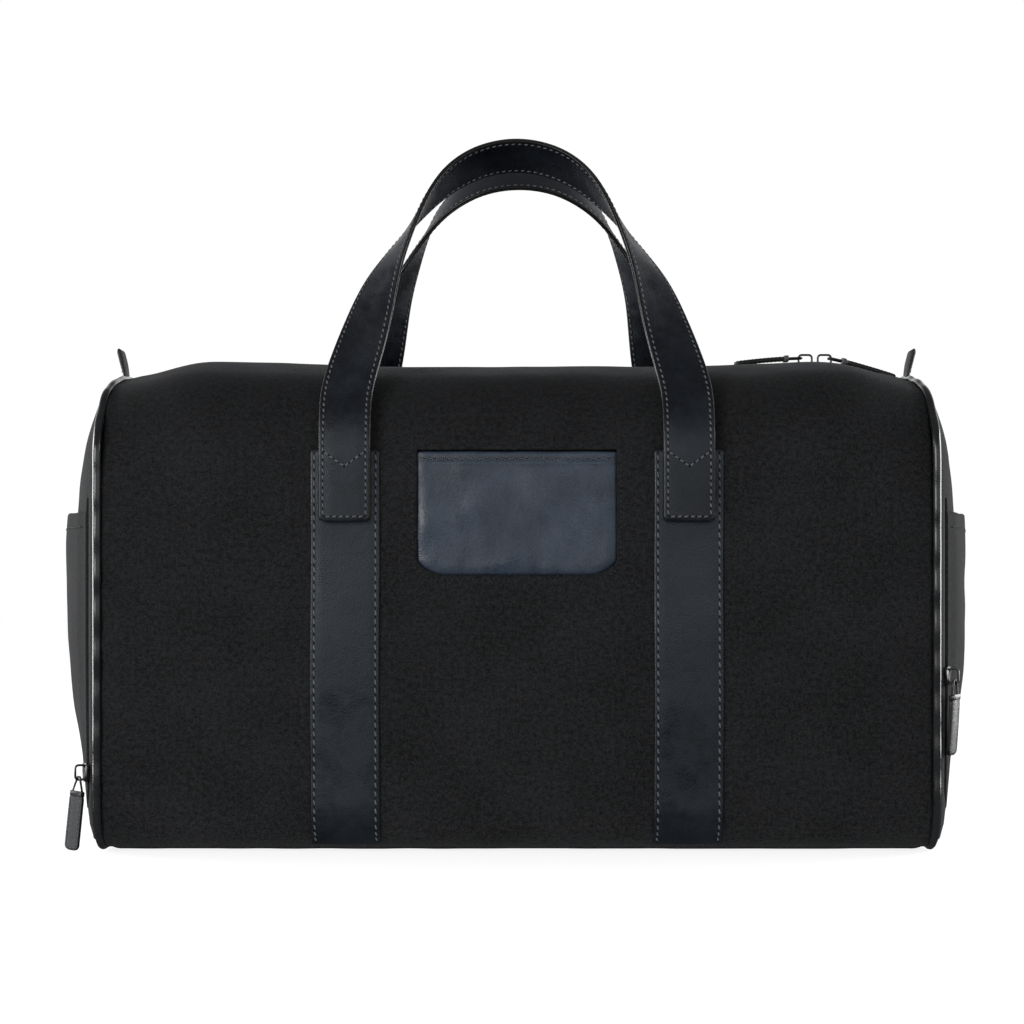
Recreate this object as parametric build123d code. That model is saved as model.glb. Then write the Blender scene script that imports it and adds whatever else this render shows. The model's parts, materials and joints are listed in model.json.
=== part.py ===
from build123d import *
import math
import os

# A soft weekender bag. X runs along the bag, -Y is its front, +Z is up, and the origin is the
# centre of the flat underside of the base. All sizes are in millimetres.

# Body: a sewn sleeve with a domed panel at each end.
SEAM_X = 260.0  # centre of the corded seam at each end
HALF_D = 130.0  # half the depth of the sleeve
BASE_Z = 2.5  # underside of the canvas sleeve
BASE_R = 28.0  # round where the front and rear turn under
TOP_Z = 316.0  # crown of the top
CROWN_R = 316.0  # gentle arch of the top
CORNER_R = 60.0  # round from the top into the front and rear
WALL = 3.0  # padded canvas
GAP = 0.4  # between sewn pieces that lie edge to edge
SEAM_R = 3.0  # leather cord over the end seam
SLEEVE_X = SEAM_X - SEAM_R - 0.3
DOME_X = SEAM_X + SEAM_R + 0.3

# End domes: barrel-shaped in plan, rounded at the top and the bottom.
DOME_FACE = 298.0  # furthest reach of the dome
DOME_PLAN_R = 259.0
DOME_LOW_R = 34.0
DOME_HIGH_Z = 215.0
DOME_HIGH_R = 144.7
DOME_SLACK = 0.8  # the side outline clears the plan's round nose by this

# Base and its stiffener.
BASE_HALF_Y = 101.7
BASE_T = 4.5
BOARD_T = 2.0

# Zips. The chain lies under the canvas edges; sliders straddle it.
CHAIN_SLIT = 0.6
CHAIN_HALF = 3.2
CHAIN_HIGH = -1.8
CHAIN_LOW = -5.4
TAPE_HIGH = -3.3
TAPE_LOW = -4.1
TAPE_HALF = 12.0
ZIP_GAP = 6.0  # canvas edge to the zip's centre line

# Top mouth.
MOUTH_X = (-200.0, 145.0)
MOUTH_Y = 88.0  # where the mouth flaps fold
CHAIN_END_X = 245.0
TOP_SLIDERS = {"left": (196.0, -1), "right": (209.0, 1)}

# End compartments: a flap inside a U-shaped zip, with a slip pocket outside it.
ZIP_Y = 121.0
ZIP_LOW_Z = 24.0
ZIP_R = 20.0
FLAP_TOP_Z = 222.0
SLIP_HALF = 104.0
SLIP_Z = (42.0, 215.0)
SLIP_OUT = (6.5, 8.5)
END_SLIDERS = {"left": 51.0, "right": 111.0}
PULL_LEAN = 11.0

# Leather bands and handles.
BAND_X = 106.5
BAND_W = 43.0
BAND_Z = (6.0, 252.0)
BAND_DEPTH = (0.3, 2.8)
STRAP_W = 32.0
STRAP_T = 4.6
STRAP_IN = HALF_D + 3.1
FOOT_Z = (207.0, 242.0)
LEG_Z = FOOT_Z[1] + 0.8
HANDLE_LEAN = {"front": 30.0, "rear": 34.0}
# Centre line of half a handle above its bend: across the bag, and up along the leaning strap.
HANDLE_LINE = [(106.5, 0), (101, 37), (94, 68), (86, 101), (73, 134), (57, 165), (45, 181), (25, 196)]
HANDLE_TOP = 202.0
TWIST_LENGTH = 232.0  # strap above its bend over which it turns through a quarter

# Front patch pocket: a leather panel seen through a window in the canvas.
WINDOW_X = 62.0
WINDOW_Z = (174.0, 252.0)
WINDOW_CUT = (16.0, 7.4)
PATCH_MARGIN = 5.0
PATCH_MOUTH = 4.4
PATCH_DEPTH = (-5.1, -3.3)
POCKET_DEPTH = (-11.0, -10.0)

# Linings.
LINING_X = 146.0
LINING_DEPTH = (-12.4, -11.4)
SHOE_X = (148.0, 258.0)
SHOE_HALF_Y = 108.0
SHOE_Z = (26.0, 218.0)
SHEET = 1.2


def block(x, y, z):
    """A box between two corners, given as ranges along each axis."""
    size = [high - low for low, high in (x, y, z)]
    middle = [(high + low) / 2 for low, high in (x, y, z)]
    return Pos(*middle) * Box(*size)


def around(middle, half):
    """The range that reaches half to each side of middle."""
    return (middle - half, middle + half)


def outline(grow):
    """The sleeve's cross-section, across and up, grown outward by grow."""
    low_y, low_z = HALF_D - BASE_R, BASE_Z + BASE_R
    corner_y = HALF_D - CORNER_R
    crown_z = TOP_Z - CROWN_R
    reach = CROWN_R - CORNER_R
    corner_z = crown_z + math.sqrt(reach**2 - corner_y**2)
    turn = math.degrees(math.asin(corner_y / reach))
    side, bottom = HALF_D + grow, BASE_Z - grow
    return Wire(
        [
            Line((-low_y, bottom), (low_y, bottom)),
            CenterArc((low_y, low_z), BASE_R + grow, -90, 90),
            Line((side, low_z), (side, corner_z)),
            CenterArc((corner_y, corner_z), CORNER_R + grow, 0, 90 - turn),
            CenterArc((0, crown_z), CROWN_R + grow, 90 - turn, 2 * turn),
            CenterArc((-corner_y, corner_z), CORNER_R + grow, 90 + turn, 90 - turn),
            Line((-side, corner_z), (-side, low_z)),
            CenterArc((-low_y, low_z), BASE_R + grow, 180, 90),
        ]
    )


def sleeve(grow, x):
    """The solid inside the sleeve, grown by grow, over a range of X."""
    face = Plane(origin=(x[0], 0, 0), x_dir=(0, 1, 0), z_dir=(1, 0, 0)) * Face(outline(grow))
    return extrude(face, x[1] - x[0], dir=(1, 0, 0))


def skin(depth, x):
    """The layer of the sleeve between two depths, negative inward."""
    return sleeve(depth[1], x) - sleeve(depth[0], (x[0] - 1, x[1] + 1))


def dome(grow, start=DOME_X):
    """The solid inside the right end's dome, grown by grow."""
    low_x = DOME_FACE - DOME_LOW_R
    high_x = DOME_FACE - DOME_HIGH_R
    back_x = start - 20
    extra = grow + DOME_SLACK
    bottom, face = BASE_Z - extra, DOME_FACE + extra
    reach = DOME_HIGH_R + extra
    fan = math.degrees(math.acos((back_x - high_x) / reach))
    back_z = DOME_HIGH_Z + reach * math.sin(math.radians(fan))
    side = Wire(
        [
            Line((back_x, bottom), (low_x, bottom)),
            CenterArc((low_x, BASE_Z + DOME_LOW_R), DOME_LOW_R + extra, -90, 90),
            Line((face, BASE_Z + DOME_LOW_R), (face, DOME_HIGH_Z)),
            CenterArc((high_x, DOME_HIGH_Z), reach, 0, fan),
            Line((back_x, back_z), (back_x, bottom)),
        ]
    )
    across = extrude(Plane.XZ * Face(side), 200, dir=(0, 1, 0), both=True)
    plan = Pos(DOME_FACE - DOME_PLAN_R, 0, 150) * Cylinder(DOME_PLAN_R + grow, 500)
    return sleeve(grow, (start, DOME_FACE + 30)) & across & plan


def dome_skin(depth):
    """The layer of the right dome between two depths, negative inward."""
    return dome(depth[1]) - dome(depth[0], DOME_X - 1)


def zip_field(inset, top=FLAP_TOP_Z):
    """A prism along X inside the end zip's U, drawn in by inset."""
    half, low = ZIP_Y - inset, ZIP_LOW_Z + inset
    face = Pos(0, (low + top) / 2) * Rectangle(2 * half, top - low)
    face = fillet(face.vertices().sort_by(Axis.Y)[:2], max(ZIP_R - inset, 1.0))
    return extrude(Plane.YZ * face, 340, dir=(1, 0, 0))


def surface_plane(z):
    """Frame on the right dome at the end zip: x down along the chain, z straight out."""
    angle = math.asin(ZIP_Y / DOME_PLAN_R)
    centre = DOME_FACE - DOME_PLAN_R
    point = (centre + DOME_PLAN_R * math.cos(angle), -ZIP_Y, z)
    return Plane(origin=point, x_dir=(0, 0, -1), z_dir=(math.cos(angle), -math.sin(angle), 0))


def slider(plane, skew=0.0, one_sided=False):
    """A slider on plane, whose origin is the canvas surface on the chain's centre line.

    Its neck leans by skew to follow the slit, and one_sided leaves out the floor on the fixed side.
    """
    body = block((-6, 6), (-4.5, 4.5), (-1.4, 1.6))
    neck = Rot(-skew, 0, 0) * block((-3, 3), (-0.5, 0.5), (-12, 2))
    floor = block((-6, 6), (-4.5, 4.5), (-8, -5.8))
    if one_sided:
        floor &= Rot(-skew, 0, 0) * block((-9, 9), (-0.5, 20), (-20, 5))
    body += neck & block((-9, 9), (-9, 9), (-6, -1))
    body += floor
    bail = block((-5.5, 5.5), (-1.2, 1.2), (1.5, 8.5))
    bail -= block((-3.8, 3.8), (-2, 2), (2.6, 6.8))
    return plane * (body + bail)


def link(plane):
    """The metal link of a pull: x runs along the pull, the origin is on the hinge pin."""
    pin = Rot(90, 0, 0) * Cylinder(0.8, 7.6)
    arms = [block((0, 9), around(side * 3.0, 0.8), (-0.8, 0.8)) for side in (-1, 1)]
    clamp = block((8.5, 11), (-4.2, 4.2), (-2.0, 2.0))
    return plane * (pin + arms[0] + arms[1] + clamp)


def leather_pull(plane):
    """The leather tongue of a pull, beyond its link."""
    face = Rectangle(34, 10)
    face = fillet(face.vertices(), 3.5)
    return plane * (Pos(28.4, 0, -1.6) * extrude(face, 3.2))


def pin_plane(plane, lean):
    """Where a pull hangs from the slider on plane, leaning away from the surface by lean."""
    return plane * Pos(2.8, 0, 5.4) * Rot(0, -lean, 0)


def handle(which):
    """One carrying loop, above its two sewn feet. The front one is built and the rear is mirrored."""
    lean = math.radians(HANDLE_LEAN[which])
    centre_y = HALF_D - CORNER_R
    radius = STRAP_IN + STRAP_T / 2 - centre_y
    bend_z = TOP_Z - CROWN_R + math.sqrt((CROWN_R - CORNER_R) ** 2 - centre_y**2)
    up = Vector(0, math.sin(lean), math.cos(lean))
    out = Vector(0, -math.cos(lean), math.sin(lean))
    foot = Vector(0, -centre_y - radius * math.cos(lean), bend_z + radius * math.sin(lean))
    points = [(-x, u) for x, u in HANDLE_LINE] + [(0, HANDLE_TOP)] + HANDLE_LINE[::-1]
    line = Spline(points, tangents=[(0, 1), (0, -1)])

    sections = []
    steps = 32
    for step in range(steps + 1):
        at, along = line @ (step / steps), line % (step / steps)
        tangent = Vector(along.X, 0, 0) + up * along.Y
        side = Vector(along.Y, 0, 0) - up * along.X
        share = min(min(step, steps - step) * line.length / steps / TWIST_LENGTH, 1)
        twist = math.radians(90) * share * share * (3 - 2 * share)
        width = side * math.cos(twist) + out * math.sin(twist)
        place = foot + up * at.Y + Vector(at.X, 0, 0)
        sections.append(Plane(origin=place, x_dir=width, z_dir=tangent) * Rectangle(STRAP_W, STRAP_T))
    loop = loft(sections, ruled=True)

    # Each leg goes up from the foot and round the bag's top corner.
    ring = Cylinder(radius + STRAP_T / 2, STRAP_W) - Cylinder(radius - STRAP_T / 2, STRAP_W + 2)
    ring = Pos(0, -centre_y, bend_z) * Rot(0, 90, 0) * ring
    wedge = [(0, 0), (-100, 0), (-100, 100 * math.tan(lean))]
    slice_face = Pos(-centre_y, bend_z) * make_face(Polyline(*wedge, close=True))
    bend = ring & extrude(Plane.YZ * slice_face, 50, dir=(1, 0, 0), both=True)
    bend -= block((-60, 60), (-200, 0), (LEG_Z - 20, LEG_Z))
    loop = loop + Pos(HANDLE_LINE[0][0], 0, 0) * bend + Pos(-HANDLE_LINE[0][0], 0, 0) * bend
    return loop if which == "front" else mirror(loop, about=Plane.XZ)


def front_and_rear():
    """The canvas of the sleeve: front and rear panels and the two mouth flaps."""
    full = skin((-WALL, 0), (-SLEEVE_X, SLEEVE_X))
    front = full & block((-300, 300), (-200, -ZIP_GAP), (-10, 400))
    mouth = block(MOUTH_X, (-MOUTH_Y + GAP, 0), (250, 400))
    cut = block((MOUTH_X[0] - GAP, MOUTH_X[1] + GAP), (-MOUTH_Y, 10), (250, 400))
    base = block((-300, 300), (-BASE_HALF_Y - GAP, 10), (-10, 20))
    flap = front & mouth
    panel = front - cut - base
    rear_panel, rear_flap = mirror(panel, about=Plane.XZ), mirror(flap, about=Plane.XZ)
    low, high = WINDOW_Z
    cut_x, cut_z = WINDOW_CUT
    corners = [
        (-WINDOW_X, high),
        (-WINDOW_X, low + cut_z),
        (-WINDOW_X + cut_x, low),
        (WINDOW_X - cut_x, low),
        (WINDOW_X, low + cut_z),
        (WINDOW_X, high),
    ]
    window = extrude(Plane.XZ * make_face(Polyline(*corners, close=True)), 200, dir=(0, -1, 0))
    return {
        "front_panel": panel - window,
        "rear_panel": rear_panel,
        "top_flap_front": flap,
        "top_flap_rear": rear_flap,
    }


def base():
    """The flat base panel and the stiffener board above it."""
    board_z = (BASE_T + 0.3, BASE_T + 0.3 + BOARD_T)
    return {
        "base_panel": block(around(0, SLEEVE_X), around(0, BASE_HALF_Y), (0, BASE_T)),
        "base_board": block(around(0, SLEEVE_X - 4), around(0, BASE_HALF_Y - 3), board_z),
    }


def bands():
    """Four leather bands sewn over the front and rear, and the four handle feet on them."""
    parts = {}
    layer = skin(BAND_DEPTH, (-200, 200))
    foot_y = (-STRAP_IN - STRAP_T, -STRAP_IN)
    for side, sign in (("left", -1), ("right", 1)):
        middle = sign * BAND_X
        band = layer & block(around(middle, BAND_W / 2), (-200, -90), BAND_Z)
        foot = block(around(middle, STRAP_W / 2), foot_y, FOOT_Z)
        parts[f"front_band_{side}"] = band
        parts[f"rear_band_{side}"] = mirror(band, about=Plane.XZ)
        parts[f"front_handle_foot_{side}"] = foot
        parts[f"rear_handle_foot_{side}"] = mirror(foot, about=Plane.XZ)
    return parts


def front_pocket():
    """The leather panel of the patch pocket and the cloth bag behind it."""
    low, high = WINDOW_Z
    panel = skin(PATCH_DEPTH, (-200, 200)) & block(
        around(0, WINDOW_X + PATCH_MARGIN), (-200, 0), (low - PATCH_MARGIN, high - PATCH_MOUTH)
    )
    half = WINDOW_X + PATCH_MARGIN + 3
    room = (half - SHEET, low - PATCH_MARGIN - 2, high + 3)
    outer = block(around(0, half), (-200, 0), (room[1] - SHEET, room[2] + SHEET))
    inner = block(around(0, room[0]), (-200, 0), (room[1], room[2]))
    sack = skin((POCKET_DEPTH[0], PATCH_DEPTH[1]), (-200, 200)) & outer
    sack -= skin((POCKET_DEPTH[1], 5), (-200, 200)) & inner
    return {"front_pocket_panel": panel, "front_pocket_bag": sack}


def top_zip():
    """Tapes and tooth rows of the top zip: one set on each mouth flap, and the fixed ends."""
    parts = {}
    fixed = [(-CHAIN_END_X, MOUTH_X[0] - GAP), (MOUTH_X[1] + GAP, CHAIN_END_X)]
    layers = {
        "tape": ((TAPE_LOW, TAPE_HIGH), (CHAIN_HALF + 0.1, TAPE_HALF)),
        "teeth": ((CHAIN_LOW, CHAIN_HIGH), (CHAIN_SLIT, CHAIN_HALF)),
    }
    for name, (depth, width) in layers.items():
        layer = skin(depth, (-250, 250)) & block((-250, 250), (0, 50), (250, 400))
        rear = layer & block(MOUTH_X, width, (250, 400))
        parts[f"top_zip_{name}_rear"] = rear
        parts[f"top_zip_{name}_front"] = mirror(rear, about=Plane.XZ)
        ends = [layer & block(x, width, (250, 400)) for x in fixed]
        ends += [mirror(end, about=Plane.XZ) for end in ends]
        parts[f"top_zip_{name}_ends"] = Compound(children=ends)
    return parts


def top_pulls():
    """The two sliders of the top zip, head to head, with their pulls lying away from each other."""
    parts = {}
    for side, (x, way) in TOP_SLIDERS.items():
        plane = Plane(origin=(x, 0, TOP_Z), x_dir=(way, 0, 0), z_dir=(0, 0, 1))
        hang = pin_plane(plane, 0)
        parts[f"top_slider_{side}"] = slider(plane)
        parts[f"top_pull_link_{side}"] = link(hang)
        parts[f"top_pull_leather_{side}"] = leather_pull(hang)
    return parts


def end_panels():
    """One domed end, as the right one: its ring, the zipped flap and the slip pocket on it."""
    shell = dome_skin((-WALL, 0))
    ring = shell - zip_field(-ZIP_GAP + 0.5, FLAP_TOP_Z + GAP)
    flap = shell & zip_field(ZIP_GAP - 0.5)
    field = block((200, 340), around(0, SLIP_HALF), SLIP_Z)
    room = block((200, 340), around(0, SLIP_HALF - 2), (SLIP_Z[0] + 2, 400))
    pocket = (dome(SLIP_OUT[1]) & field) - dome(0.3, DOME_X - 1)
    pocket -= dome(SLIP_OUT[0], DOME_X - 1) & room
    return {"end_panel": ring, "end_flap": flap, "end_pocket": pocket}


def end_zip():
    """Tapes and tooth rows of one end zip, on the ring and on the flap."""
    parts = {}
    layers = {
        "tape": ((TAPE_LOW, TAPE_HIGH), CHAIN_HALF + 0.1, TAPE_HALF),
        "teeth": ((CHAIN_LOW, CHAIN_HIGH), CHAIN_SLIT, CHAIN_HALF),
    }
    for name, (depth, near, far) in layers.items():
        layer = dome_skin(depth)
        top = FLAP_TOP_Z
        parts[f"end_zip_{name}_flap"] = layer & (zip_field(near) - zip_field(far, top + 1))
        ring = zip_field(-far, top) - zip_field(-near, top + 1)
        parts[f"end_zip_{name}_ring"] = layer & ring
    return parts


def ends():
    """Everything that both ends have, the left being the mirror image of the right."""
    parts = {}
    path = outline(-1)
    plane = Plane(origin=(SEAM_X, 0, 0), x_dir=(0, 1, 0), z_dir=(1, 0, 0))
    path = plane * path
    start = Plane(origin=path @ 0, z_dir=path % 0)
    right = {"end_piping": sweep(start * Circle(SEAM_R), path=path)}
    right.update(end_panels())
    right.update(end_zip())
    tab = [(263.5, 310.7), (268.0, 310.7), (271.4, 326.0), (269.6, 328.4), (266.6, 327.0)]
    tab_face = fillet(make_face(Polyline(*tab, close=True)).vertices().sort_by(Axis.Y)[-3:], 1.0)
    right["end_tab"] = extrude(Plane.XZ * tab_face, 11, dir=(0, 1, 0), both=True)
    outer = block(SHOE_X, around(0, SHOE_HALF_Y), SHOE_Z)
    inner = block(
        (SHOE_X[0] + SHEET, SHOE_X[1] + 1),
        around(0, SHOE_HALF_Y - SHEET),
        (SHOE_Z[0] + SHEET, SHOE_Z[1] - SHEET),
    )
    right["shoe_lining"] = outer - inner
    for name, shape in right.items():
        parts[f"right_{name}"] = shape
        parts[f"left_{name}"] = mirror(shape, about=Plane.YZ)
    skew = math.degrees(math.asin(ZIP_Y / DOME_PLAN_R))
    for side, z in END_SLIDERS.items():
        plane = surface_plane(z)
        hang = pin_plane(plane, PULL_LEAN)
        made = {
            "slider": slider(plane, skew, one_sided=True),
            "pull_link": link(hang),
            "pull_leather": leather_pull(hang),
        }
        for name, shape in made.items():
            parts[f"{side}_{name}"] = shape if side == "right" else mirror(shape, about=Plane.YZ)
    return parts


def linings():
    """The main compartment's lining, open at the mouth, and the slip pocket on its rear wall."""
    low, high = LINING_DEPTH
    lining = sleeve(high, around(0, LINING_X)) - sleeve(low, around(0, LINING_X - SHEET))
    lining -= block((-200, 200), (-MOUTH_Y + 4, MOUTH_Y - 4), (270, 400))
    outer = block((-76, 76), (0, 200), (118, 222))
    inner = block((-76 + SHEET, 76 - SHEET), (0, 200), (118 + SHEET, 300))
    pocket = skin((low - 7.8, low - 0.3), (-200, 200)) & outer
    pocket -= skin((low - 6.8, 5), (-200, 200)) & inner
    return {"main_lining": lining, "inner_pocket": pocket}


def build():
    """Every node of the bag, by name."""
    parts = {}
    for made in (front_and_rear(), base(), bands(), front_pocket(), top_zip(), top_pulls(), ends(), linings()):
        parts.update(made)
    parts["front_handle"] = handle("front")
    parts["rear_handle"] = handle("rear")
    return parts


os.makedirs("parts", exist_ok=True)
for node, shape in build().items():
    export_step(shape, f"parts/{node}.step")
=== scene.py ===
import json
import math

import bmesh
import bpy
import numpy as np
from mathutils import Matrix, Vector


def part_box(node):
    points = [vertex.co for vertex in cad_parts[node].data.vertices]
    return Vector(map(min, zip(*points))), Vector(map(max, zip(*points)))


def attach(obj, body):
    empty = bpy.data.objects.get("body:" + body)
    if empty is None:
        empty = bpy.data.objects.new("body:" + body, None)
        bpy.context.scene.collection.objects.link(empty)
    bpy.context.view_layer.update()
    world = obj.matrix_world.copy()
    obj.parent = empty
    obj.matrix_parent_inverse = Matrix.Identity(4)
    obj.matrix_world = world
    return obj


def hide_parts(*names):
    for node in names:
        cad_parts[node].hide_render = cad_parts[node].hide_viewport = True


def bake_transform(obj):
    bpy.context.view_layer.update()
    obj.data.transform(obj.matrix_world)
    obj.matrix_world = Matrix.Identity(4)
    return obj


# The looks of a soft canvas weekender bag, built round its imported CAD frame. Lengths here are in
# millimetres, in the frame's axes (X along the bag, -Y the front, +Z up), and become metres when a
# mesh is made.

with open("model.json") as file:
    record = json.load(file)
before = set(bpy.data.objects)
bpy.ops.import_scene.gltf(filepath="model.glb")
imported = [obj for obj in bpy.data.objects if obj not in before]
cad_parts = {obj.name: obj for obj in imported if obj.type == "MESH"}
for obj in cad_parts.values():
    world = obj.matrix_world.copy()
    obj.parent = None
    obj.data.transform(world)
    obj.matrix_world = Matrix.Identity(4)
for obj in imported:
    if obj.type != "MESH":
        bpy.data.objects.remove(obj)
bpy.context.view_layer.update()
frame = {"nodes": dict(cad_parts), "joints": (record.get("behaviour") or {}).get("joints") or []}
MM = 0.001
UV_NAME = "metric"
JOINTS = {joint["name"]: joint for joint in frame["joints"]}


def cad(node):
    """Lowest and highest corner of a CAD node, in millimetres."""
    low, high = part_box(node)
    return np.array(low) / MM, np.array(high) / MM


# ---------------------------------------------------------------- driving sizes

panel_low, panel_high = cad("front_panel")
foot_low, foot_high = cad("front_handle_foot_right")
band_low, band_high = cad("front_band_right")

SLEEVE_X = panel_high[0] + 1.1
HALF_D = -panel_low[1]
BASE_Z = panel_low[2]
BASE_R = 28.0
TOP_Z = round(panel_high[2])
CROWN_R = 316.0
CORNER_R = 60.0
CANVAS_T = 2.2

SEAM_X = 260.7
PIPING_R = 2.7
DOME_EDGE_X = 261.5
DOME_RISE = 29.6
DOME_PLAN_R = 259.0
END_DROP = 8.5  # the top falls this far towards each end seam

ZIP_GAP = 6.0
ZIP_Y = 121.0
ZIP_LOW_Z = 24.0
ZIP_R = 20.0
FLAP_TOP_Z = JOINTS["right_flap_open"]["pos_m"][2] / MM
SLIT_HALF = 1.5  # the canvas edges almost meet over an end zip
TOOTH_PITCH = 2.3
CHAIN_END_X = 245.0
MOUTH_X = (cad("top_flap_front")[0][0], cad("top_flap_front")[1][0])
MOUTH_Y = -JOINTS["mouth_front_open"]["pos_m"][1] / MM

BAND_X = (band_low[0] + band_high[0]) / 2
BAND_HALF = (band_high[0] - band_low[0]) / 2
BAND_TOP_Z = 252.0
BAND_T = 2.1
STRAP_HALF = (foot_high[0] - foot_low[0]) / 2
STRAP_Y = -(foot_low[1] + foot_high[1]) / 2
FOOT_Z = foot_low[2]
HANDLE_LEAN = {"front": 30.0, "rear": 34.0}
HANDLE_X = 106.5
HANDLE_LINE = {
    "front": [(106.5, 0), (101, 37), (94, 68), (86, 101), (73, 134), (57, 165), (45, 181), (25, 196)],
    "rear": [
        (106.5, 0), (101.5, 37), (95.5, 68), (88.5, 99), (76.5, 130), (61.5, 160), (50, 175.5), (29, 190.5),
    ],
}
HANDLE_TOP = {"front": 202.0, "rear": 196.5}
TWIST_LENGTH = {"front": 220.0, "rear": 210.0}
REAR_SHIFT = 2.0  # the rear handle's arch sits a little to one side

WINDOW_X = 62.0
WINDOW_Z = (174.0, 252.0)
WINDOW_CUT = (16.0, 9.0)

TOP_SLIDERS = {"left": (196.0, -1), "right": (209.0, 1)}
END_SLIDERS = {"left": 51.0, "right": 111.0}
PULL_LEAN = 11.0


# ---------------------------------------------------------------- small helpers


def smooth(start, end, value):
    """0 at start, 1 at end, with a soft ease between. start may be above end."""
    share = np.clip((np.asarray(value, float) - start) / (end - start), 0, 1)
    return share * share * (3 - 2 * share)


def waves(seed, wavelength, count=14):
    """A smooth random field over two coordinates: a sum of seeded waves."""
    rng = np.random.default_rng(seed)
    angles = rng.uniform(0, 2 * math.pi, count)
    lengths = wavelength * rng.uniform(0.6, 1.8, count)
    phases = rng.uniform(0, 2 * math.pi, count)

    def field(u, v):
        total = np.zeros(np.broadcast(u, v).shape)
        for angle, length, phase in zip(angles, lengths, phases):
            total += np.sin(2 * math.pi * (u * math.cos(angle) + v * math.sin(angle)) / length + phase)
        return total / math.sqrt(count / 2)

    return field


def lines(*stops):
    """Grid lines from (position, spacing up to the next stop) pairs."""
    parts = []
    for (start, step), (end, _) in zip(stops, stops[1:]):
        count = max(1, round(abs(end - start) / step))
        parts.append(np.linspace(start, end, count + 1)[:-1])
    return np.append(np.concatenate(parts), stops[-1][0])


def unit(vectors):
    """Vectors scaled to length one."""
    return vectors / np.maximum(np.linalg.norm(vectors, axis=-1, keepdims=True), 1e-9)


def lengths_along(points):
    """Distance from the first point to each point of a line."""
    return np.append(0, np.cumsum(np.linalg.norm(np.diff(points, axis=0), axis=1)))


def resample(points, count):
    """count points spaced evenly along a line."""
    points = np.asarray(points, float)
    along = lengths_along(points)
    at = np.linspace(0, along[-1], count)
    return np.stack([np.interp(at, along, points[:, axis]) for axis in range(points.shape[1])], -1)


def curve_through(points, start, end, step=1.0):
    """A cubic curve through points, with given end directions, sampled about every step."""
    points = np.asarray(points, float)
    knots = lengths_along(points)
    gaps = np.diff(knots)
    count = len(points)
    matrix, right = np.zeros((count, count)), np.zeros_like(points)
    matrix[0, 0] = matrix[-1, -1] = 1
    right[0], right[-1] = start, end
    for i in range(1, count - 1):
        before, after = gaps[i - 1], gaps[i]
        matrix[i, i - 1 : i + 2] = after, 2 * (before + after), before
        slope_before = (points[i] - points[i - 1]) / before
        slope_after = (points[i + 1] - points[i]) / after
        right[i] = 3 * (after * slope_before + before * slope_after)
    slopes = np.linalg.solve(matrix, right)
    at = np.linspace(0, knots[-1], round(knots[-1] / step) + 1)
    span = np.clip(np.searchsorted(knots, at, side="right") - 1, 0, count - 2)
    gap = gaps[span][:, None]
    share = ((at - knots[span]) / gaps[span])[:, None]
    return (
        (2 * share**3 - 3 * share**2 + 1) * points[span]
        + (share**3 - 2 * share**2 + share) * gap * slopes[span]
        + (3 * share**2 - 2 * share**3) * points[span + 1]
        + (share**3 - share**2) * gap * slopes[span + 1]
    )


# ---------------------------------------------------------------- mesh making


def grid_faces(rows, columns, wrap_rows=False, wrap_columns=False):
    """Quads of a grid of vertices, optionally joined end to end."""
    i = np.arange(rows if wrap_rows else rows - 1)[:, None]
    j = np.arange(columns if wrap_columns else columns - 1)[None, :]
    below, beside = (i + 1) % rows, (j + 1) % columns
    corners = [i * columns + j, below * columns + j, below * columns + beside, i * columns + beside]
    return np.stack(np.broadcast_arrays(*corners), -1).reshape(-1, 4)


def make(name, points, faces, uv=None, inside=None, groups=None):
    """A smooth mesh object. inside is a point or an array of points that the faces turn away from."""
    points = np.asarray(points, float).reshape(-1, 3)
    faces = [list(map(int, face)) for face in faces]
    if inside is not None:
        outward = 0.0
        inside = np.broadcast_to(np.asarray(inside, float), points.shape)
        for face in faces[:: max(1, len(faces) // 400)]:
            corner = points[face]
            normal = np.cross(corner[1] - corner[0], corner[2] - corner[0])
            outward += float(normal @ (corner.mean(0) - inside[face].mean(0)))
        if outward < 0:
            faces = [face[::-1] for face in faces]
    mesh = bpy.data.meshes.new(name)
    mesh.from_pydata((points * MM).tolist(), [], faces)
    if groups is not None:
        mesh.polygons.foreach_set("material_index", np.asarray(groups, np.int32))
    if uv is not None:
        layer = mesh.uv_layers.new(name=UV_NAME)
        uv = np.asarray(uv, float).reshape(-1, 2) * MM
        corners = np.zeros(len(mesh.loops), np.int32)
        mesh.loops.foreach_get("vertex_index", corners)
        layer.data.foreach_set("uv", uv[corners].astype(np.float32).ravel())
    mesh.polygons.foreach_set("use_smooth", np.ones(len(mesh.polygons), bool))
    mesh.update()
    obj = bpy.data.objects.new(name, mesh)
    bpy.context.scene.collection.objects.link(obj)
    return obj


def tube_mesh(points, across, up, profile, closed=False):
    """Sweeps a closed profile (across, up pairs) along points. Returns vertices, faces and metric UVs."""
    points, profile = np.asarray(points, float), np.asarray(profile, float)
    if profile.ndim == 2:
        profile = np.broadcast_to(profile, (len(points), *profile.shape))
    sides = profile.shape[1]
    vertices = points[:, None] + across[:, None] * profile[..., :1] + up[:, None] * profile[..., 1:]
    faces = grid_faces(len(points), sides, wrap_rows=closed, wrap_columns=True).tolist()
    if not closed:
        last = (len(points) - 1) * sides
        faces += [list(range(sides)), [last + k for k in range(sides)][::-1]]
    along = lengths_along(points)
    round_it = np.append(0, np.cumsum(np.linalg.norm(np.diff(profile[0], axis=0), axis=1)))
    uv = np.stack(np.meshgrid(along, round_it, indexing="ij"), -1)
    return vertices.reshape(-1, 3), faces, uv.reshape(-1, 2)


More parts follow.
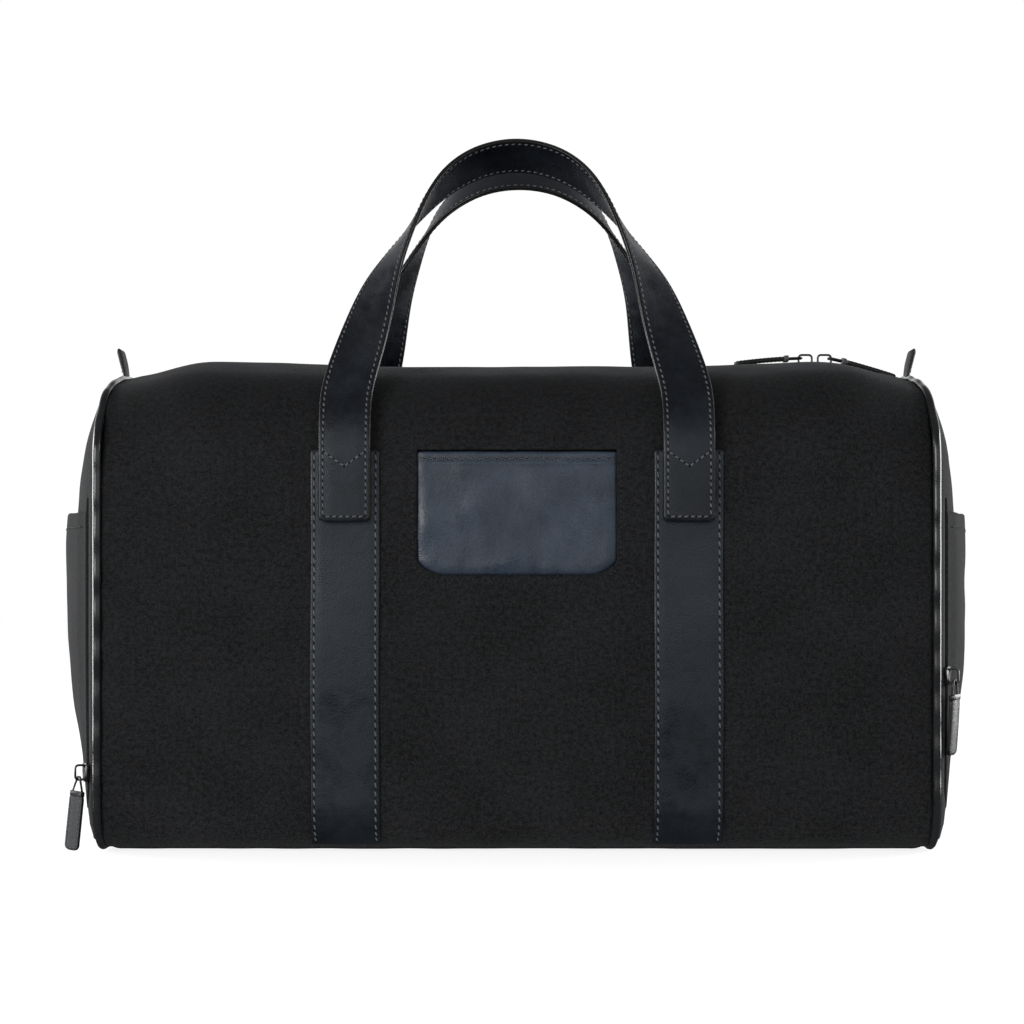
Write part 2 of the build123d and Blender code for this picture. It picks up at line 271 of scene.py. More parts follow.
def circle(radius, sides=10, squash=1.0):
    """A round profile for tube_mesh."""
    angle = np.linspace(0, 2 * math.pi, sides, endpoint=False)
    return np.stack([radius * np.cos(angle), radius * squash * np.sin(angle)], -1)


def frames_along(points, up_hint, closed=False):
    """Across and up directions of a tube along points, kept near up_hint."""
    if closed:
        tangent = unit(np.roll(points, -1, 0) - np.roll(points, 1, 0))
    else:
        tangent = unit(np.gradient(points, axis=0))
    across = unit(np.cross(tangent, np.broadcast_to(up_hint, points.shape)))
    return across, np.cross(across, tangent)


def joined(parts):
    """Vertices, faces and UVs of several (vertices, faces, uv) parts as one."""
    vertices, faces, uvs, start = [], [], [], 0
    for points, part_faces, uv in parts:
        vertices.append(points)
        uvs.append(uv)
        faces += [[start + corner for corner in face] for face in part_faces]
        start += len(points)
    return np.concatenate(vertices), faces, np.concatenate(uvs)


def solidify(obj, thickness, inner_material=0, rim_material=0):
    """Gives a sheet its thickness, inward."""
    modifier = obj.modifiers.new("thickness", "SOLIDIFY")
    modifier.thickness = thickness * MM
    modifier.offset = -1
    modifier.material_offset = inner_material
    modifier.material_offset_rim = rim_material
    modifier.use_quality_normals = True


def soften(obj, width, segments=3):
    """Rounds the hard edges of a small hard piece."""
    modifier = obj.modifiers.new("edges", "BEVEL")
    modifier.width = width * MM
    modifier.segments = segments
    modifier.limit_method = "ANGLE"
    modifier.angle_limit = math.radians(35)


def dress(obj, slot, *materials):
    """Assigns materials; slot is not used."""
    for material in materials:
        obj.data.materials.append(material)
    return obj


def points_of(obj):
    """The vertices of a mesh, in millimetres."""
    flat = np.zeros(len(obj.data.vertices) * 3, np.float32)
    obj.data.vertices.foreach_get("co", flat)
    return flat.reshape(-1, 3).astype(float) / MM


def bend(obj, weights):
    """Bakes obj's placement into its mesh and works out each point's share from weights(points), but blends
    nothing.
    """
    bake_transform(obj)
    share = weights(points_of(obj)).astype(np.float32)


# ---------------------------------------------------------------- the sleeve's shape

SHOULDER_Y = HALF_D - CORNER_R
CORNER_Z = TOP_Z - CROWN_R + math.sqrt((CROWN_R - CORNER_R) ** 2 - SHOULDER_Y**2)
TURN = math.asin(SHOULDER_Y / (CROWN_R - CORNER_R))
T_CROWN = CROWN_R * TURN
T_CORNER = T_CROWN + CORNER_R * (math.pi / 2 - TURN)
T_SIDE = T_CORNER + CORNER_Z - BASE_Z - BASE_R
T_BASE = T_SIDE + BASE_R * math.pi / 2

slow_waves = waves(3, 130)
soft_waves = waves(5, 46)


def section(t):
    """Depth, height and outward normal at arc length t down from the crown's middle."""
    t = np.asarray(t, float)
    parts = [t < T_CROWN, t < T_CORNER, t < T_SIDE, t < T_BASE]
    quarter = math.pi / 2
    angle = np.select(
        parts,
        [t / CROWN_R, TURN + (t - T_CROWN) / CORNER_R, quarter, quarter + (t - T_SIDE) / BASE_R],
        math.pi,
    )
    sine, cosine = np.sin(angle), np.cos(angle)
    low_y, low_z = HALF_D - BASE_R, BASE_Z + BASE_R
    y = np.select(
        parts,
        [CROWN_R * sine, SHOULDER_Y + CORNER_R * sine, HALF_D, low_y + BASE_R * sine],
        low_y - (t - T_BASE),
    )
    z = np.select(
        parts,
        [
            TOP_Z - CROWN_R + CROWN_R * cosine,
            CORNER_Z + CORNER_R * cosine,
            CORNER_Z - (t - T_CORNER),
            low_z + BASE_R * cosine,
        ],
        BASE_Z,
    )
    return y, z, sine, cosine


def down_to(z):
    """Arc length t at which the sleeve's side or top corner is at height z."""
    if z <= CORNER_Z:
        return T_CORNER + CORNER_Z - z
    return T_CROWN + CORNER_R * (math.acos((z - CORNER_Z) / CORNER_R) - TURN)


def puff(x, t, face):
    """How far the soft canvas stands out from the plain outline."""
    x, t = np.broadcast_arrays(np.asarray(x, float), np.asarray(t, float))
    reach = np.abs(x)
    to_seam = SLEEVE_X - reach
    top = 1 - smooth(T_CROWN, T_CORNER + 35, t)
    crown = -1.5 + 2.5 * smooth(90, 190, reach) - (END_DROP + 1) * smooth(62, 0, to_seam) ** 1.3
    belly = smooth(T_CORNER + 45, T_CORNER + 130, t) * (1 - smooth(T_SIDE - 75, T_SIDE + 5, t))
    belly = 2.4 * belly * (1 - (reach / SLEEVE_X) ** 6)
    low = 1 - smooth(T_SIDE, T_BASE - 12, t)
    seam = -1.3 * smooth(13, 0, to_seam)
    ripple = np.sin(t / 6.1 + 2.1 * np.sin(t / 37 + face) + np.sign(x))
    pucker = 0.38 * smooth(24, 3, to_seam) * ripple
    drift = 0.45 * slow_waves(x + 900 * face, t) + 0.16 * soft_waves(x, t - 700 * face)
    calm = smooth(0, 25, to_seam) * smooth(4, 40, t)
    band = np.exp(-(((reach - BAND_X) / (BAND_HALF + 3)) ** 4)) * smooth(down_to(270), down_to(250), t)
    pocket = smooth(WINDOW_X + 30, WINDOW_X + 8, reach) * smooth(T_CROWN, down_to(262), t)
    pocket = pocket * (1 - smooth(down_to(165), down_to(130), t)) * (face < 0)
    still = np.maximum(band, pocket)
    side = belly * (1 - 0.4 * pocket) + seam + pucker + drift * calm * (1 - 0.7 * still) - 0.35 * band
    return crown * top + side * low


def on_sleeve(x, t, face, out=0.0):
    """Points on the canvas or out from it. face is -1 for the front and 1 for the rear."""
    x, t = np.broadcast_arrays(np.asarray(x, float), np.asarray(t, float))
    y, z, normal_y, normal_z = section(t)
    lift = puff(x, t, face) + out
    return np.stack([x, face * (y + normal_y * lift), z + normal_z * lift], -1)


def sleeve_normal(x, t, face):
    """Outward direction of the plain sleeve at each point."""
    _, t = np.broadcast_arrays(np.asarray(x, float), np.asarray(t, float))
    _, _, normal_y, normal_z = section(t)
    return np.stack([np.zeros_like(t), face * normal_y, normal_z], -1)


def mouth_share(points):
    """How far each point follows a mouth flap: most in the middle of the zip, none at its ends."""
    middle, half = sum(MOUTH_X) / 2, (MOUTH_X[1] - MOUTH_X[0]) / 2
    window = np.clip(1 - ((points[:, 0] - middle) / half) ** 2, 0, 1)
    return window * (1 - smooth(MOUTH_Y - 14, MOUTH_Y + 16, np.abs(points[:, 1]))) * (points[:, 2] > 250)


def ride_mouth(obj):
    """Bakes the placement of a piece on the top and works out its mouth flap share, but blends nothing."""
    bend(obj, mouth_share)


# ---------------------------------------------------------------- the end's shape

MIDDLE_Z = 150.0
SEAM_TOP_Z = TOP_Z - END_DROP


def half_ring(side_inset, top_inset, low, radius):
    """Half a loop (depth, height) on an end: from the top's middle, down the side, to the base's middle."""
    t = np.linspace(0, down_to(FLAP_TOP_Z), 200)
    y, z, normal_y, normal_z = section(t)
    inset = top_inset + (side_inset - top_inset) * smooth(T_CROWN * 0.8, t[-1], t)
    lift = puff(np.full_like(t, SLEEVE_X), t, -1) - inset
    plain = smooth(T_CORNER - 45, T_CORNER, t)
    lift = lift * (1 - plain) - inset * plain
    over = resample(np.stack([y + normal_y * lift, z + normal_z * lift], -1), 46)
    half = HALF_D - side_inset
    side = np.stack([np.full(44, half), np.linspace(FLAP_TOP_Z, 46, 45)[1:]], -1)
    angle = np.linspace(0, math.pi / 2, 40)
    corner = np.stack([half - radius + radius * np.cos(angle), low + radius - radius * np.sin(angle)], -1)
    corner = resample(np.vstack([[half, 46], corner]), 15)[1:]
    base = np.stack([np.linspace(half - radius, 0, 25)[1:], np.full(24, low)], -1)
    return np.vstack([over, side, corner, base])


def whole_ring(half):
    """The closed loop of a half one and its mirror image."""
    other = half[1:-1][::-1] * [-1, 1]
    return np.vstack([half, other])


SEAM_RING = half_ring(0, 0, BASE_Z, BASE_R)
dome_waves = waves(11, 90)
dome_ripples = waves(12, 30)


def dome_x(y, z, sign, out=0.0):
    """Reach of the soft end dome over (depth, height), for the right end; sign only varies its puffs."""
    half = np.interp(-z, -SEAM_RING[:, 1], SEAM_RING[:, 0])
    share = np.clip(np.abs(y) / np.maximum(half, 1e-6), 0, 1)
    rim = math.sqrt(DOME_PLAN_R**2 - HALF_D**2)
    plan = (np.sqrt(DOME_PLAN_R**2 - (HALF_D * share) ** 2) - rim) / (DOME_PLAN_R - rim)
    above = np.clip((z - MIDDLE_Z) / (SEAM_TOP_Z - MIDDLE_Z), 0, 1)
    below = np.clip((MIDDLE_Z - z) / (MIDDLE_Z - BASE_Z), 0, 1)
    fullness = 0.88 * (1 - 0.8 * smooth(0.7, 0.92, share) * (1 - smooth(235, 275, z)))
    profile = (1 - above**3) ** fullness * (1 - below**2.4) ** fullness
    rise = DOME_RISE * plan**0.8 * profile
    loose = 0.5 * dome_waves(y + 400 * sign, z) + 0.15 * dome_ripples(y, z + 300 * sign)
    return DOME_EDGE_X + rise + loose * np.clip(rise / 18, 0, 1) * (1 - smooth(85, 112, np.abs(y))) + out


def on_dome(y, z, sign, out=0.0):
    """Points on an end dome, or out from it along X."""
    y, z = np.broadcast_arrays(np.asarray(y, float), np.asarray(z, float))
    return np.stack([sign * dome_x(y, z, sign, out), y, z], -1)


def dome_normal(y, z, sign):
    """Outward direction of an end dome."""
    step = 2.0
    slope_y = (dome_x(y + step, z, sign) - dome_x(y - step, z, sign)) / (2 * step)
    slope_z = (dome_x(y, z + step, sign) - dome_x(y, z - step, sign)) / (2 * step)
    return unit(np.stack([sign * np.ones_like(slope_y), -slope_y, -slope_z], -1))


def within_zip(y, z, inset=0.0):
    """True inside the end zip's U."""
    half, low, radius = ZIP_Y - inset, ZIP_LOW_Z + inset, ZIP_R
    in_corner = (np.abs(y) > half - radius) & (z < low + radius)
    away = np.hypot(np.abs(y) - (half - radius), z - (low + radius))
    return (np.abs(y) < half) & (z > low) & (~in_corner | (away < radius))


def below_fold(points):
    """How far each point of a flap follows it: not at all above the fold, wholly below."""
    return 1 - smooth(FLAP_TOP_Z - 10, FLAP_TOP_Z + 10, points[:, 2])


def flap_share(points):
    """How far each point of an end follows its flap: only what lies inside the zip."""
    return within_zip(points[:, 1], points[:, 2]) * below_fold(points)


def ride_flap(obj, share=below_fold):
    """Bakes the placement of a piece on an end and works out its flap share, but blends nothing."""
    bend(obj, share)


# ---------------------------------------------------------------- materials


class Nodes:
    """Short calls for building one node material."""

    def __init__(self, name):
        self.material = bpy.data.materials.new(name)
        self.material.use_nodes = True
        self.tree = self.material.node_tree
        self.shader = self.tree.nodes["Principled BSDF"]

    def add(self, kind, **settings):
        node = self.tree.nodes.new("ShaderNode" + kind)
        for key, value in settings.items():
            setattr(node, key, value)
        return node

    def link(self, source, target):
        self.tree.links.new(source, target)

    def place(self, coordinates):
        """Texture coordinates in metres: the piece's own metric map, or its place in the frame."""
        if coordinates == "uv":
            return self.add("UVMap", uv_map=UV_NAME).outputs[0]
        return self.add("TexCoord").outputs["Object"]

    def noise(self, place, size, detail=3.0, roughness=0.5, stretch=None):
        """Noise whose blobs are about size millimetres across."""
        node = self.add("TexNoise")
        node.inputs["Scale"].default_value = 1 / (size * MM)
        node.inputs["Detail"].default_value = detail
        node.inputs["Roughness"].default_value = roughness
        if stretch:
            mapping = self.add("Mapping")
            mapping.inputs["Scale"].default_value = stretch
            self.link(place, mapping.inputs["Vector"])
            place = mapping.outputs[0]
        self.link(place, node.inputs["Vector"])
        return node.outputs["Fac"]

    def cells(self, place, size):
        """Rounded cells about size millimetres across."""
        node = self.add("TexVoronoi")
        node.inputs["Scale"].default_value = 1 / (size * MM)
        self.link(place, node.inputs["Vector"])
        return node.outputs["Distance"]

    def threads(self, place, pitch, direction, wobble=0.0):
        """Parallel threads, pitch millimetres apart."""
        node = self.add("TexWave", bands_direction=direction)
        node.inputs["Scale"].default_value = 2 * math.pi / (20 * pitch * MM)
        node.inputs["Distortion"].default_value = wobble
        node.inputs["Detail"].default_value = 2.0
        self.link(place, node.inputs["Vector"])
        return node.outputs["Fac"]

    def math(self, operation, first, second):
        node = self.add("Math", operation=operation)
        for socket, value in zip(node.inputs, (first, second)):
            if isinstance(value, (int, float)):
                socket.default_value = value
            else:
                self.link(value, socket)
        return node.outputs[0]

    def ramp(self, value, *stops):
        """Colours or greys at positions along a value."""
        node = self.add("ValToRGB")
        elements = node.color_ramp.elements
        while len(elements) < len(stops):
            elements.new(0.5)
        for element, (position, colour) in zip(elements, stops):
            colour = (colour,) * 3 if isinstance(colour, (int, float)) else colour
            element.position = position
            element.color = (*colour, 1)
        self.link(value, node.inputs[0])
        return node.outputs[0]

    def mix(self, share, first, second, kind="MIX"):
        node = self.add("Mix", data_type="RGBA", blend_type=kind)
        sockets = [node.inputs[0], node.inputs[6], node.inputs[7]]
        for socket, value in zip(sockets, (share, first, second)):
            if isinstance(value, (int, float)):
                socket.default_value = value
            elif isinstance(value, tuple):
                socket.default_value = (*value, 1)
            else:
                self.link(value, socket)
        return node.outputs[2]

    def bump(self, height, depth, strength=1.0, below=None):
        """Raises height by depth millimetres, on top of another bump."""
        node = self.add("Bump")
        node.inputs["Strength"].default_value = strength
        node.inputs["Distance"].default_value = depth * MM
        self.link(height, node.inputs["Height"])
        if below is not None:
            self.link(below, node.inputs["Normal"])
        return node.outputs[0]

    def done(self, colour, roughness, normal, **sockets):
        self.link(colour, self.shader.inputs["Base Color"])
        self.link(roughness, self.shader.inputs["Roughness"])
        self.link(normal, self.shader.inputs["Normal"])
        for name, value in sockets.items():
            self.shader.inputs[name.replace("_", " ")].default_value = value
        return self.material


def cloth(name, dark, light, pitch, coordinates="uv", twill=False, relief=0.09):
    """Woven cloth: crossing threads, slubs, and soft blotches of colour."""
    nodes = Nodes(name)
    place = nodes.place(coordinates)
    if twill:
        warp = nodes.threads(place, pitch, "DIAGONAL", 0.6)
        weft = nodes.threads(place, pitch * 0.55, "Y", 0.4)
    else:
        warp = nodes.threads(place, pitch, "X", 0.7)
        weft = nodes.threads(place, pitch, "Y", 0.7)
    weave = nodes.math("MAXIMUM", warp, weft)
    fibres = nodes.noise(place, 1.5, 5.0, 0.8)
    slubs = nodes.noise(place, 3.2, 4.0, 0.7)
    blotches = nodes.noise(place, 48, 4.0, 0.55)
    tone = nodes.math("ADD", nodes.math("MULTIPLY", fibres, 0.55), nodes.math("MULTIPLY", slubs, 0.33))
    tone = nodes.math("ADD", tone, nodes.math("MULTIPLY", blotches, 0.12))
    colour = nodes.ramp(tone, (0.42, dark), (0.58, light))
    shade = nodes.ramp(weave, (0.0, 0.72), (0.8, 1.0))
    colour = nodes.mix(1.0, colour, shade, "MULTIPLY")
    roughness = nodes.ramp(fibres, (0.3, 0.78), (0.7, 0.96))
    normal = nodes.bump(weave, relief, 0.8)
    normal = nodes.bump(slubs, relief * 2.2, 0.55, normal)
    return nodes.done(
        colour,
        roughness,
        normal,
        Specular_IOR_Level=0.17,
        Sheen_Weight=0.05,
        Sheen_Roughness=0.45,
        Sheen_Tint=(0.5, 0.52, 0.55, 1),
    )


def leather(name, dark, light, grain, roughness, coordinates="uv", relief=0.05, worn=0.35, tint=(1, 1, 1)):
    """Leather: pebbled grain, fine creases, cloudy colour, and paler worn edges."""
    nodes = Nodes(name)
    place = nodes.place(coordinates)
    pebbles = nodes.cells(place, grain)
    creases = nodes.noise(place, grain * 6, 6.0, 0.62, stretch=(1.0, 0.45, 1.0))
    clouds = nodes.noise(place, 38, 4.0, 0.5)
    pores = nodes.noise(place, grain * 0.5, 2.0, 0.5)
    tone = nodes.math("ADD", nodes.math("MULTIPLY", clouds, 0.65), nodes.math("MULTIPLY", creases, 0.35))
    colour = nodes.ramp(tone, (0.32, dark), (0.68, light))
    colour = nodes.mix(1.0, colour, nodes.ramp(pebbles, (0.0, 0.62), (0.55, 1.25)), "MULTIPLY")
    edge = nodes.add("NewGeometry").outputs["Pointiness"]
    wear = nodes.math("MULTIPLY", nodes.ramp(edge, (0.53, 0.0), (0.62, 1.0)), worn)
    paler = tuple(min(1.0, channel * 2.4 + 0.01) for channel in light)
    colour = nodes.mix(wear, colour, paler)
    gloss = nodes.math("ADD", nodes.math("MULTIPLY", creases, 0.25), nodes.math("MULTIPLY", pores, 0.2))
    gloss = nodes.math("ADD", gloss, nodes.math("MULTIPLY", nodes.noise(place, 27, 3.0, 0.5), 0.55))
    rough = nodes.ramp(gloss, (0.38, roughness[0]), (0.62, roughness[1]))
    normal = nodes.bump(pebbles, relief * 1.6, 0.8)
    normal = nodes.bump(creases, relief * 5.0, 0.6, normal)
    return nodes.done(colour, rough, normal, Specular_IOR_Level=0.5, Specular_Tint=(*tint, 1))


def metal(name, dark, light):
    """Dark plated metal: handling smudges and fine brushing, paler where it rubs."""
    nodes = Nodes(name)
    place = nodes.place("object")
    smudges = nodes.noise(place, 4.0, 4.0, 0.6)
    brushing = nodes.noise(place, 0.5, 3.0, 0.6, stretch=(0.2, 1.0, 1.0))
    colour = nodes.ramp(smudges, (0.3, dark), (0.7, light))
    edge = nodes.add("NewGeometry").outputs["Pointiness"]
    colour = nodes.mix(nodes.ramp(edge, (0.52, 0.0), (0.6, 0.6)), colour, (0.2, 0.2, 0.21))
    rough = nodes.ramp(smudges, (0.3, 0.24), (0.7, 0.4))
    normal = nodes.bump(brushing, 0.02, 0.4)
    return nodes.done(colour, rough, normal, Metallic=0.9)


def moulded(name, dark, light, roughness=(0.35, 0.55)):
    """Moulded plastic or paint with a fine uneven skin."""
    nodes = Nodes(name)
    place = nodes.place("object")
    skin = nodes.noise(place, 0.9, 4.0, 0.6)
    clouds = nodes.noise(place, 14, 3.0, 0.5)
    colour = nodes.ramp(clouds, (0.3, dark), (0.7, light))
    rough = nodes.ramp(skin, (0.3, roughness[0]), (0.7, roughness[1]))
    return nodes.done(colour, rough, nodes.bump(skin, 0.03, 0.5), Specular_IOR_Level=0.4)


def thread(name, dark, light):
    """Waxed sewing thread with a twist."""
    nodes = Nodes(name)
    place = nodes.place("object")
    twist = nodes.threads(place, 0.45, "DIAGONAL", 0.3)
    fuzz = nodes.noise(place, 2.0, 3.0, 0.6)
    colour = nodes.ramp(fuzz, (0.3, dark), (0.7, light))
    rough = nodes.ramp(twist, (0.0, 0.5), (1.0, 0.7))
    return nodes.done(colour, rough, nodes.bump(twist, 0.06, 0.6), Specular_IOR_Level=0.4)


BLUISH = (0.86, 0.93, 1.0)  # the tint of the finish on the darker leathers
CANVAS = cloth("canvas_weave", (0.0022, 0.0024, 0.0028), (0.0155, 0.0162, 0.0174), 0.9)
LINING = cloth("lining_twill", (0.026, 0.028, 0.031), (0.05, 0.053, 0.058), 1.1, "object", True, 0.06)
LINING_UV = cloth("lining_twill_map", (0.026, 0.028, 0.031), (0.05, 0.053, 0.058), 1.1, "uv", True, 0.06)
TAPE = cloth("zip_tape_weave", (0.006, 0.006, 0.0066), (0.012, 0.012, 0.013), 0.7, "uv", True, 0.05)
BAND = leather(
    "band_leather_grain", (0.0022, 0.003, 0.0048), (0.0062, 0.0084, 0.012), 1.1, (0.25, 0.58),
    "object", tint=BLUISH,
)
HANDLE = leather(
    "handle_leather_grain", (0.0015, 0.0018, 0.0028), (0.005, 0.0064, 0.0096), 1.0, (0.27, 0.58),
    "object", tint=BLUISH,
)
POCKET = leather(
    "pocket_leather_grain", (0.009, 0.0155, 0.0265), (0.0245, 0.0355, 0.054), 1.2, (0.28, 0.58), relief=0.07
)
PIPING = leather(
    "piping_leather_grain", (0.006, 0.0064, 0.007), (0.013, 0.0138, 0.0146), 0.7, (0.11, 0.2),
    relief=0.006, worn=0.1,
)
TAB = leather(
    "tab_leather_grain", (0.0012, 0.0014, 0.0018), (0.003, 0.0034, 0.0042), 1.0, (0.5, 0.75), "object"
)
PULL = leather(
    "pull_leather_grain", (0.014, 0.015, 0.0165), (0.030, 0.032, 0.035), 0.7, (0.36, 0.6), worn=0.5
)
METAL = metal("dark_nickel", (0.03, 0.03, 0.032), (0.06, 0.06, 0.063))
TEETH = moulded("zip_teeth_resin", (0.008, 0.008, 0.009), (0.015, 0.015, 0.016))
EDGE_PAINT = moulded("strap_edge_paint", (0.003, 0.003, 0.0035), (0.007, 0.007, 0.008), (0.3, 0.45))
BOARD = moulded("stiffener_board", (0.02, 0.02, 0.02), (0.035, 0.035, 0.035), (0.7, 0.9))
THREAD = thread("sewing_thread", (0.05, 0.054, 0.06), (0.1, 0.106, 0.116))
CANVAS_THREAD = thread("canvas_thread", (0.010, 0.011, 0.012), (0.019, 0.020, 0.022))
# needle holes are flat near-black discs: painted shade standing in for the dark inside of each hole
HOLE_SHADE = moulded("needle_hole_shade", (0.001, 0.001, 0.001), (0.002, 0.002, 0.002), (0.9, 1.0))


# ---------------------------------------------------------------- stitching

STITCH_RINGS = [(-0.5, 0.0), (-0.44, 0.62), (-0.24, 1.0), (0.24, 1.0), (0.44, 0.62), (0.5, 0.0)]
STITCH_SIDES = 6


def stitch_shape(length, radius):
    """One raised stitch along X: a flattened thread that dives at both ends."""
    points, faces = [(-0.5 * length, 0, 0)], []
    for share, swell in STITCH_RINGS[1:-1]:
        for k in range(STITCH_SIDES):
            angle = 2 * math.pi * k / STITCH_SIDES
            points.append(
                (share * length, radius * swell * math.cos(angle), 0.75 * radius * swell * math.sin(angle))
            )
    points.append((0.5 * length, 0, 0))
    rings, last = len(STITCH_RINGS) - 2, len(points) - 1
    for k in range(STITCH_SIDES):
        beside = (k + 1) % STITCH_SIDES
        faces.append([0, 1 + beside, 1 + k])
        for ring in range(rings - 1):
            a, b = 1 + ring * STITCH_SIDES, 1 + (ring + 1) * STITCH_SIDES
            faces.append([a + k, a + beside, b + beside, b + k])
        end = 1 + (rings - 1) * STITCH_SIDES
        faces.append([end + k, end + beside, last])
    return np.array(points, float), faces


def repeat(shape, faces, places, along, across, out):
    """Copies of a small shape, one at each place, turned to its own directions."""
    points = (
        places[:, None]
        + along[:, None] * shape[None, :, :1]
        + across[:, None] * shape[None, :, 1:2]
        + out[:, None] * shape[None, :, 2:]
    )
    count, size = len(places), len(shape)
    all_faces = [[k * size + corner for corner in face] for k in range(count) for face in faces]
    return points.reshape(-1, 3), all_faces


def sew(name, rows, pitch, radius, slot, material, slant=10.0):
    """Stitch rows as one piece, needle holes as painted-shade discs. A row is (points, outward normals)."""
    body = stitch_shape(pitch * 0.62, radius)
    hole_angle = np.linspace(0, 2 * math.pi, 7)[:-1]
    # each needle hole is a flat near-black disc of painted shade, laid just over the surface
    hole_shade_disc = np.stack([0.62 * np.cos(hole_angle), 0.46 * np.sin(hole_angle), np.zeros(6)], -1) * radius * 2.3
    vertices, faces, groups, start = [], [], [], 0
    for points, normals in rows:
        count = max(2, round(lengths_along(points)[-1] / pitch))
        both = resample(np.hstack([points, normals]), 2 * count + 1)
        places, out = both[:, :3], unit(both[:, 3:])
        tangent = unit(np.gradient(places, axis=0))
        side = unit(np.cross(out, tangent))
        tilt = math.radians(slant)
        along, across = tangent * math.cos(tilt) + side * math.sin(tilt), side
        sets = [
            (*body, slice(1, None, 2), 0, radius * 0.25),
            (hole_shade_disc, [list(range(6))], slice(0, None, 2), 1, 0.05),
        ]
        for shape, shape_faces, pick, group, lift in sets:
            at = places[pick] + out[pick] * lift
            made, made_faces = repeat(shape, shape_faces, at, along[pick], across[pick], out[pick])
            vertices.append(made)
            faces += [[start + corner for corner in face] for face in made_faces]
            groups += [group] * len(made_faces)
            start += len(made)
    obj = make(name, np.concatenate(vertices), faces, groups=groups)
    return dress(obj, slot, material, HOLE_SHADE)


# ---------------------------------------------------------------- canvas pieces

WINDOW_T = (down_to(WINDOW_Z[1]), down_to(WINDOW_Z[0]))


def corner_cut(share):
    """Rise of the window's cut corner, 0 to 1: flatter than a round, softer than a straight cut."""
    return 1 - (1 - share**1.45) ** (1 / 1.45)


def window_warp(x, t):
    """Lifts grid lines near the pocket window's lower corners, so that they follow its rounded cut."""
    reach = np.abs(x)
    cut_x, cut_t = WINDOW_CUT
    share = np.clip((reach - WINDOW_X + cut_x) / cut_x, 0, 1)
    rise = cut_t * corner_cut(share) * (1 - smooth(WINDOW_X, WINDOW_X + 22, reach))
    near = np.where(
        t <= WINDOW_T[1],
        smooth(WINDOW_T[0], WINDOW_T[1], t),
        1 - smooth(WINDOW_T[1], WINDOW_T[1] + 26, t),
    )
    return t - rise * near


def sleeve_canvas(face):
    """The front or rear canvas, from the zip's edge over the top and down to the base seam."""
    name = "front_canvas" if face < 0 else "rear_canvas"
    inner, outer = WINDOW_X - WINDOW_CUT[0] - 2, WINDOW_X + 8
    right = lines((inner, 1.6), (WINDOW_X, 1.6), (outer, 4), (SLEEVE_X - 26, 2.2), (SLEEVE_X, 2.2))
    middle = lines((-inner, 4), (inner, 4))
    across = np.concatenate([-right[::-1], middle[1:-1], right])
    down = lines(
        (ZIP_GAP, 2), (18, 4), (WINDOW_T[0] - 8, 2), (WINDOW_T[0], 4), (WINDOW_T[1] - 10, 1.6),
        (WINDOW_T[1] + 10, 4), (T_SIDE, 3), (T_BASE, 3),
    )
    x, t = np.meshgrid(across, down)
    if face < 0:
        t = window_warp(x, t)
    closed = smooth(CHAIN_END_X - 3, CHAIN_END_X + 2, np.abs(x))
    t = t - ZIP_GAP * closed * (1 - smooth(ZIP_GAP, 20, t))
    points = on_sleeve(x, t, face)
    faces = grid_faces(len(down), len(across))
    if face < 0:
        row, column = np.divmod(faces[:, 0], len(across))
        inside = (across[column] >= -WINDOW_X - 0.01) & (across[column] < WINDOW_X - 0.01)
        inside &= (down[row] >= WINDOW_T[0] - 0.01) & (down[row] < WINDOW_T[1] - 0.01)
        faces = faces[~inside]
    middle_line = np.stack([x, np.zeros_like(x), np.full_like(x, MIDDLE_Z)], -1).reshape(-1, 3)
    obj = make(name, points, faces, np.stack([x, t], -1), inside=middle_line)
    dress(obj, "canvas", CANVAS, LINING_UV)
    solidify(obj, CANVAS_T, inner_material=1)
    ride_mouth(obj)
    side = "front" if face < 0 else "rear"
    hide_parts(f"{side}_panel", f"top_flap_{side}")


def base_canvas():
    """The sewn base: a padded sheet with a rolled edge, resting on the floor."""
    half_x, half_y = SLEEVE_X - 0.5, cad("base_panel")[1][1] + 0.8
    across = lines((-half_x, 2), (-half_x + 12, 8), (half_x - 12, 2), (half_x, 2))
    down = lines((-half_y, 1.5), (-half_y + 9, 7), (half_y - 9, 1.5), (half_y, 1.5))
    x, y = np.meshgrid(across, down)
    edge = np.minimum(half_x - np.abs(x), half_y - np.abs(y))
    z = 0.15 + 3.0 * (1 - smooth(-2, 7, edge)) ** 1.5 + 0.12 * (1 + np.clip(soft_waves(x, y), -1, 1))
    points, uv = np.stack([x, y, z], -1), np.stack([x, y], -1)
    obj = make("base_canvas", points, grid_faces(*x.shape), uv, inside=(0, 0, 90))
    dress(obj, "canvas", CANVAS, LINING_UV)
    solidify(obj, CANVAS_T, inner_material=1)
    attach(obj, "bag")
    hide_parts("base_panel")


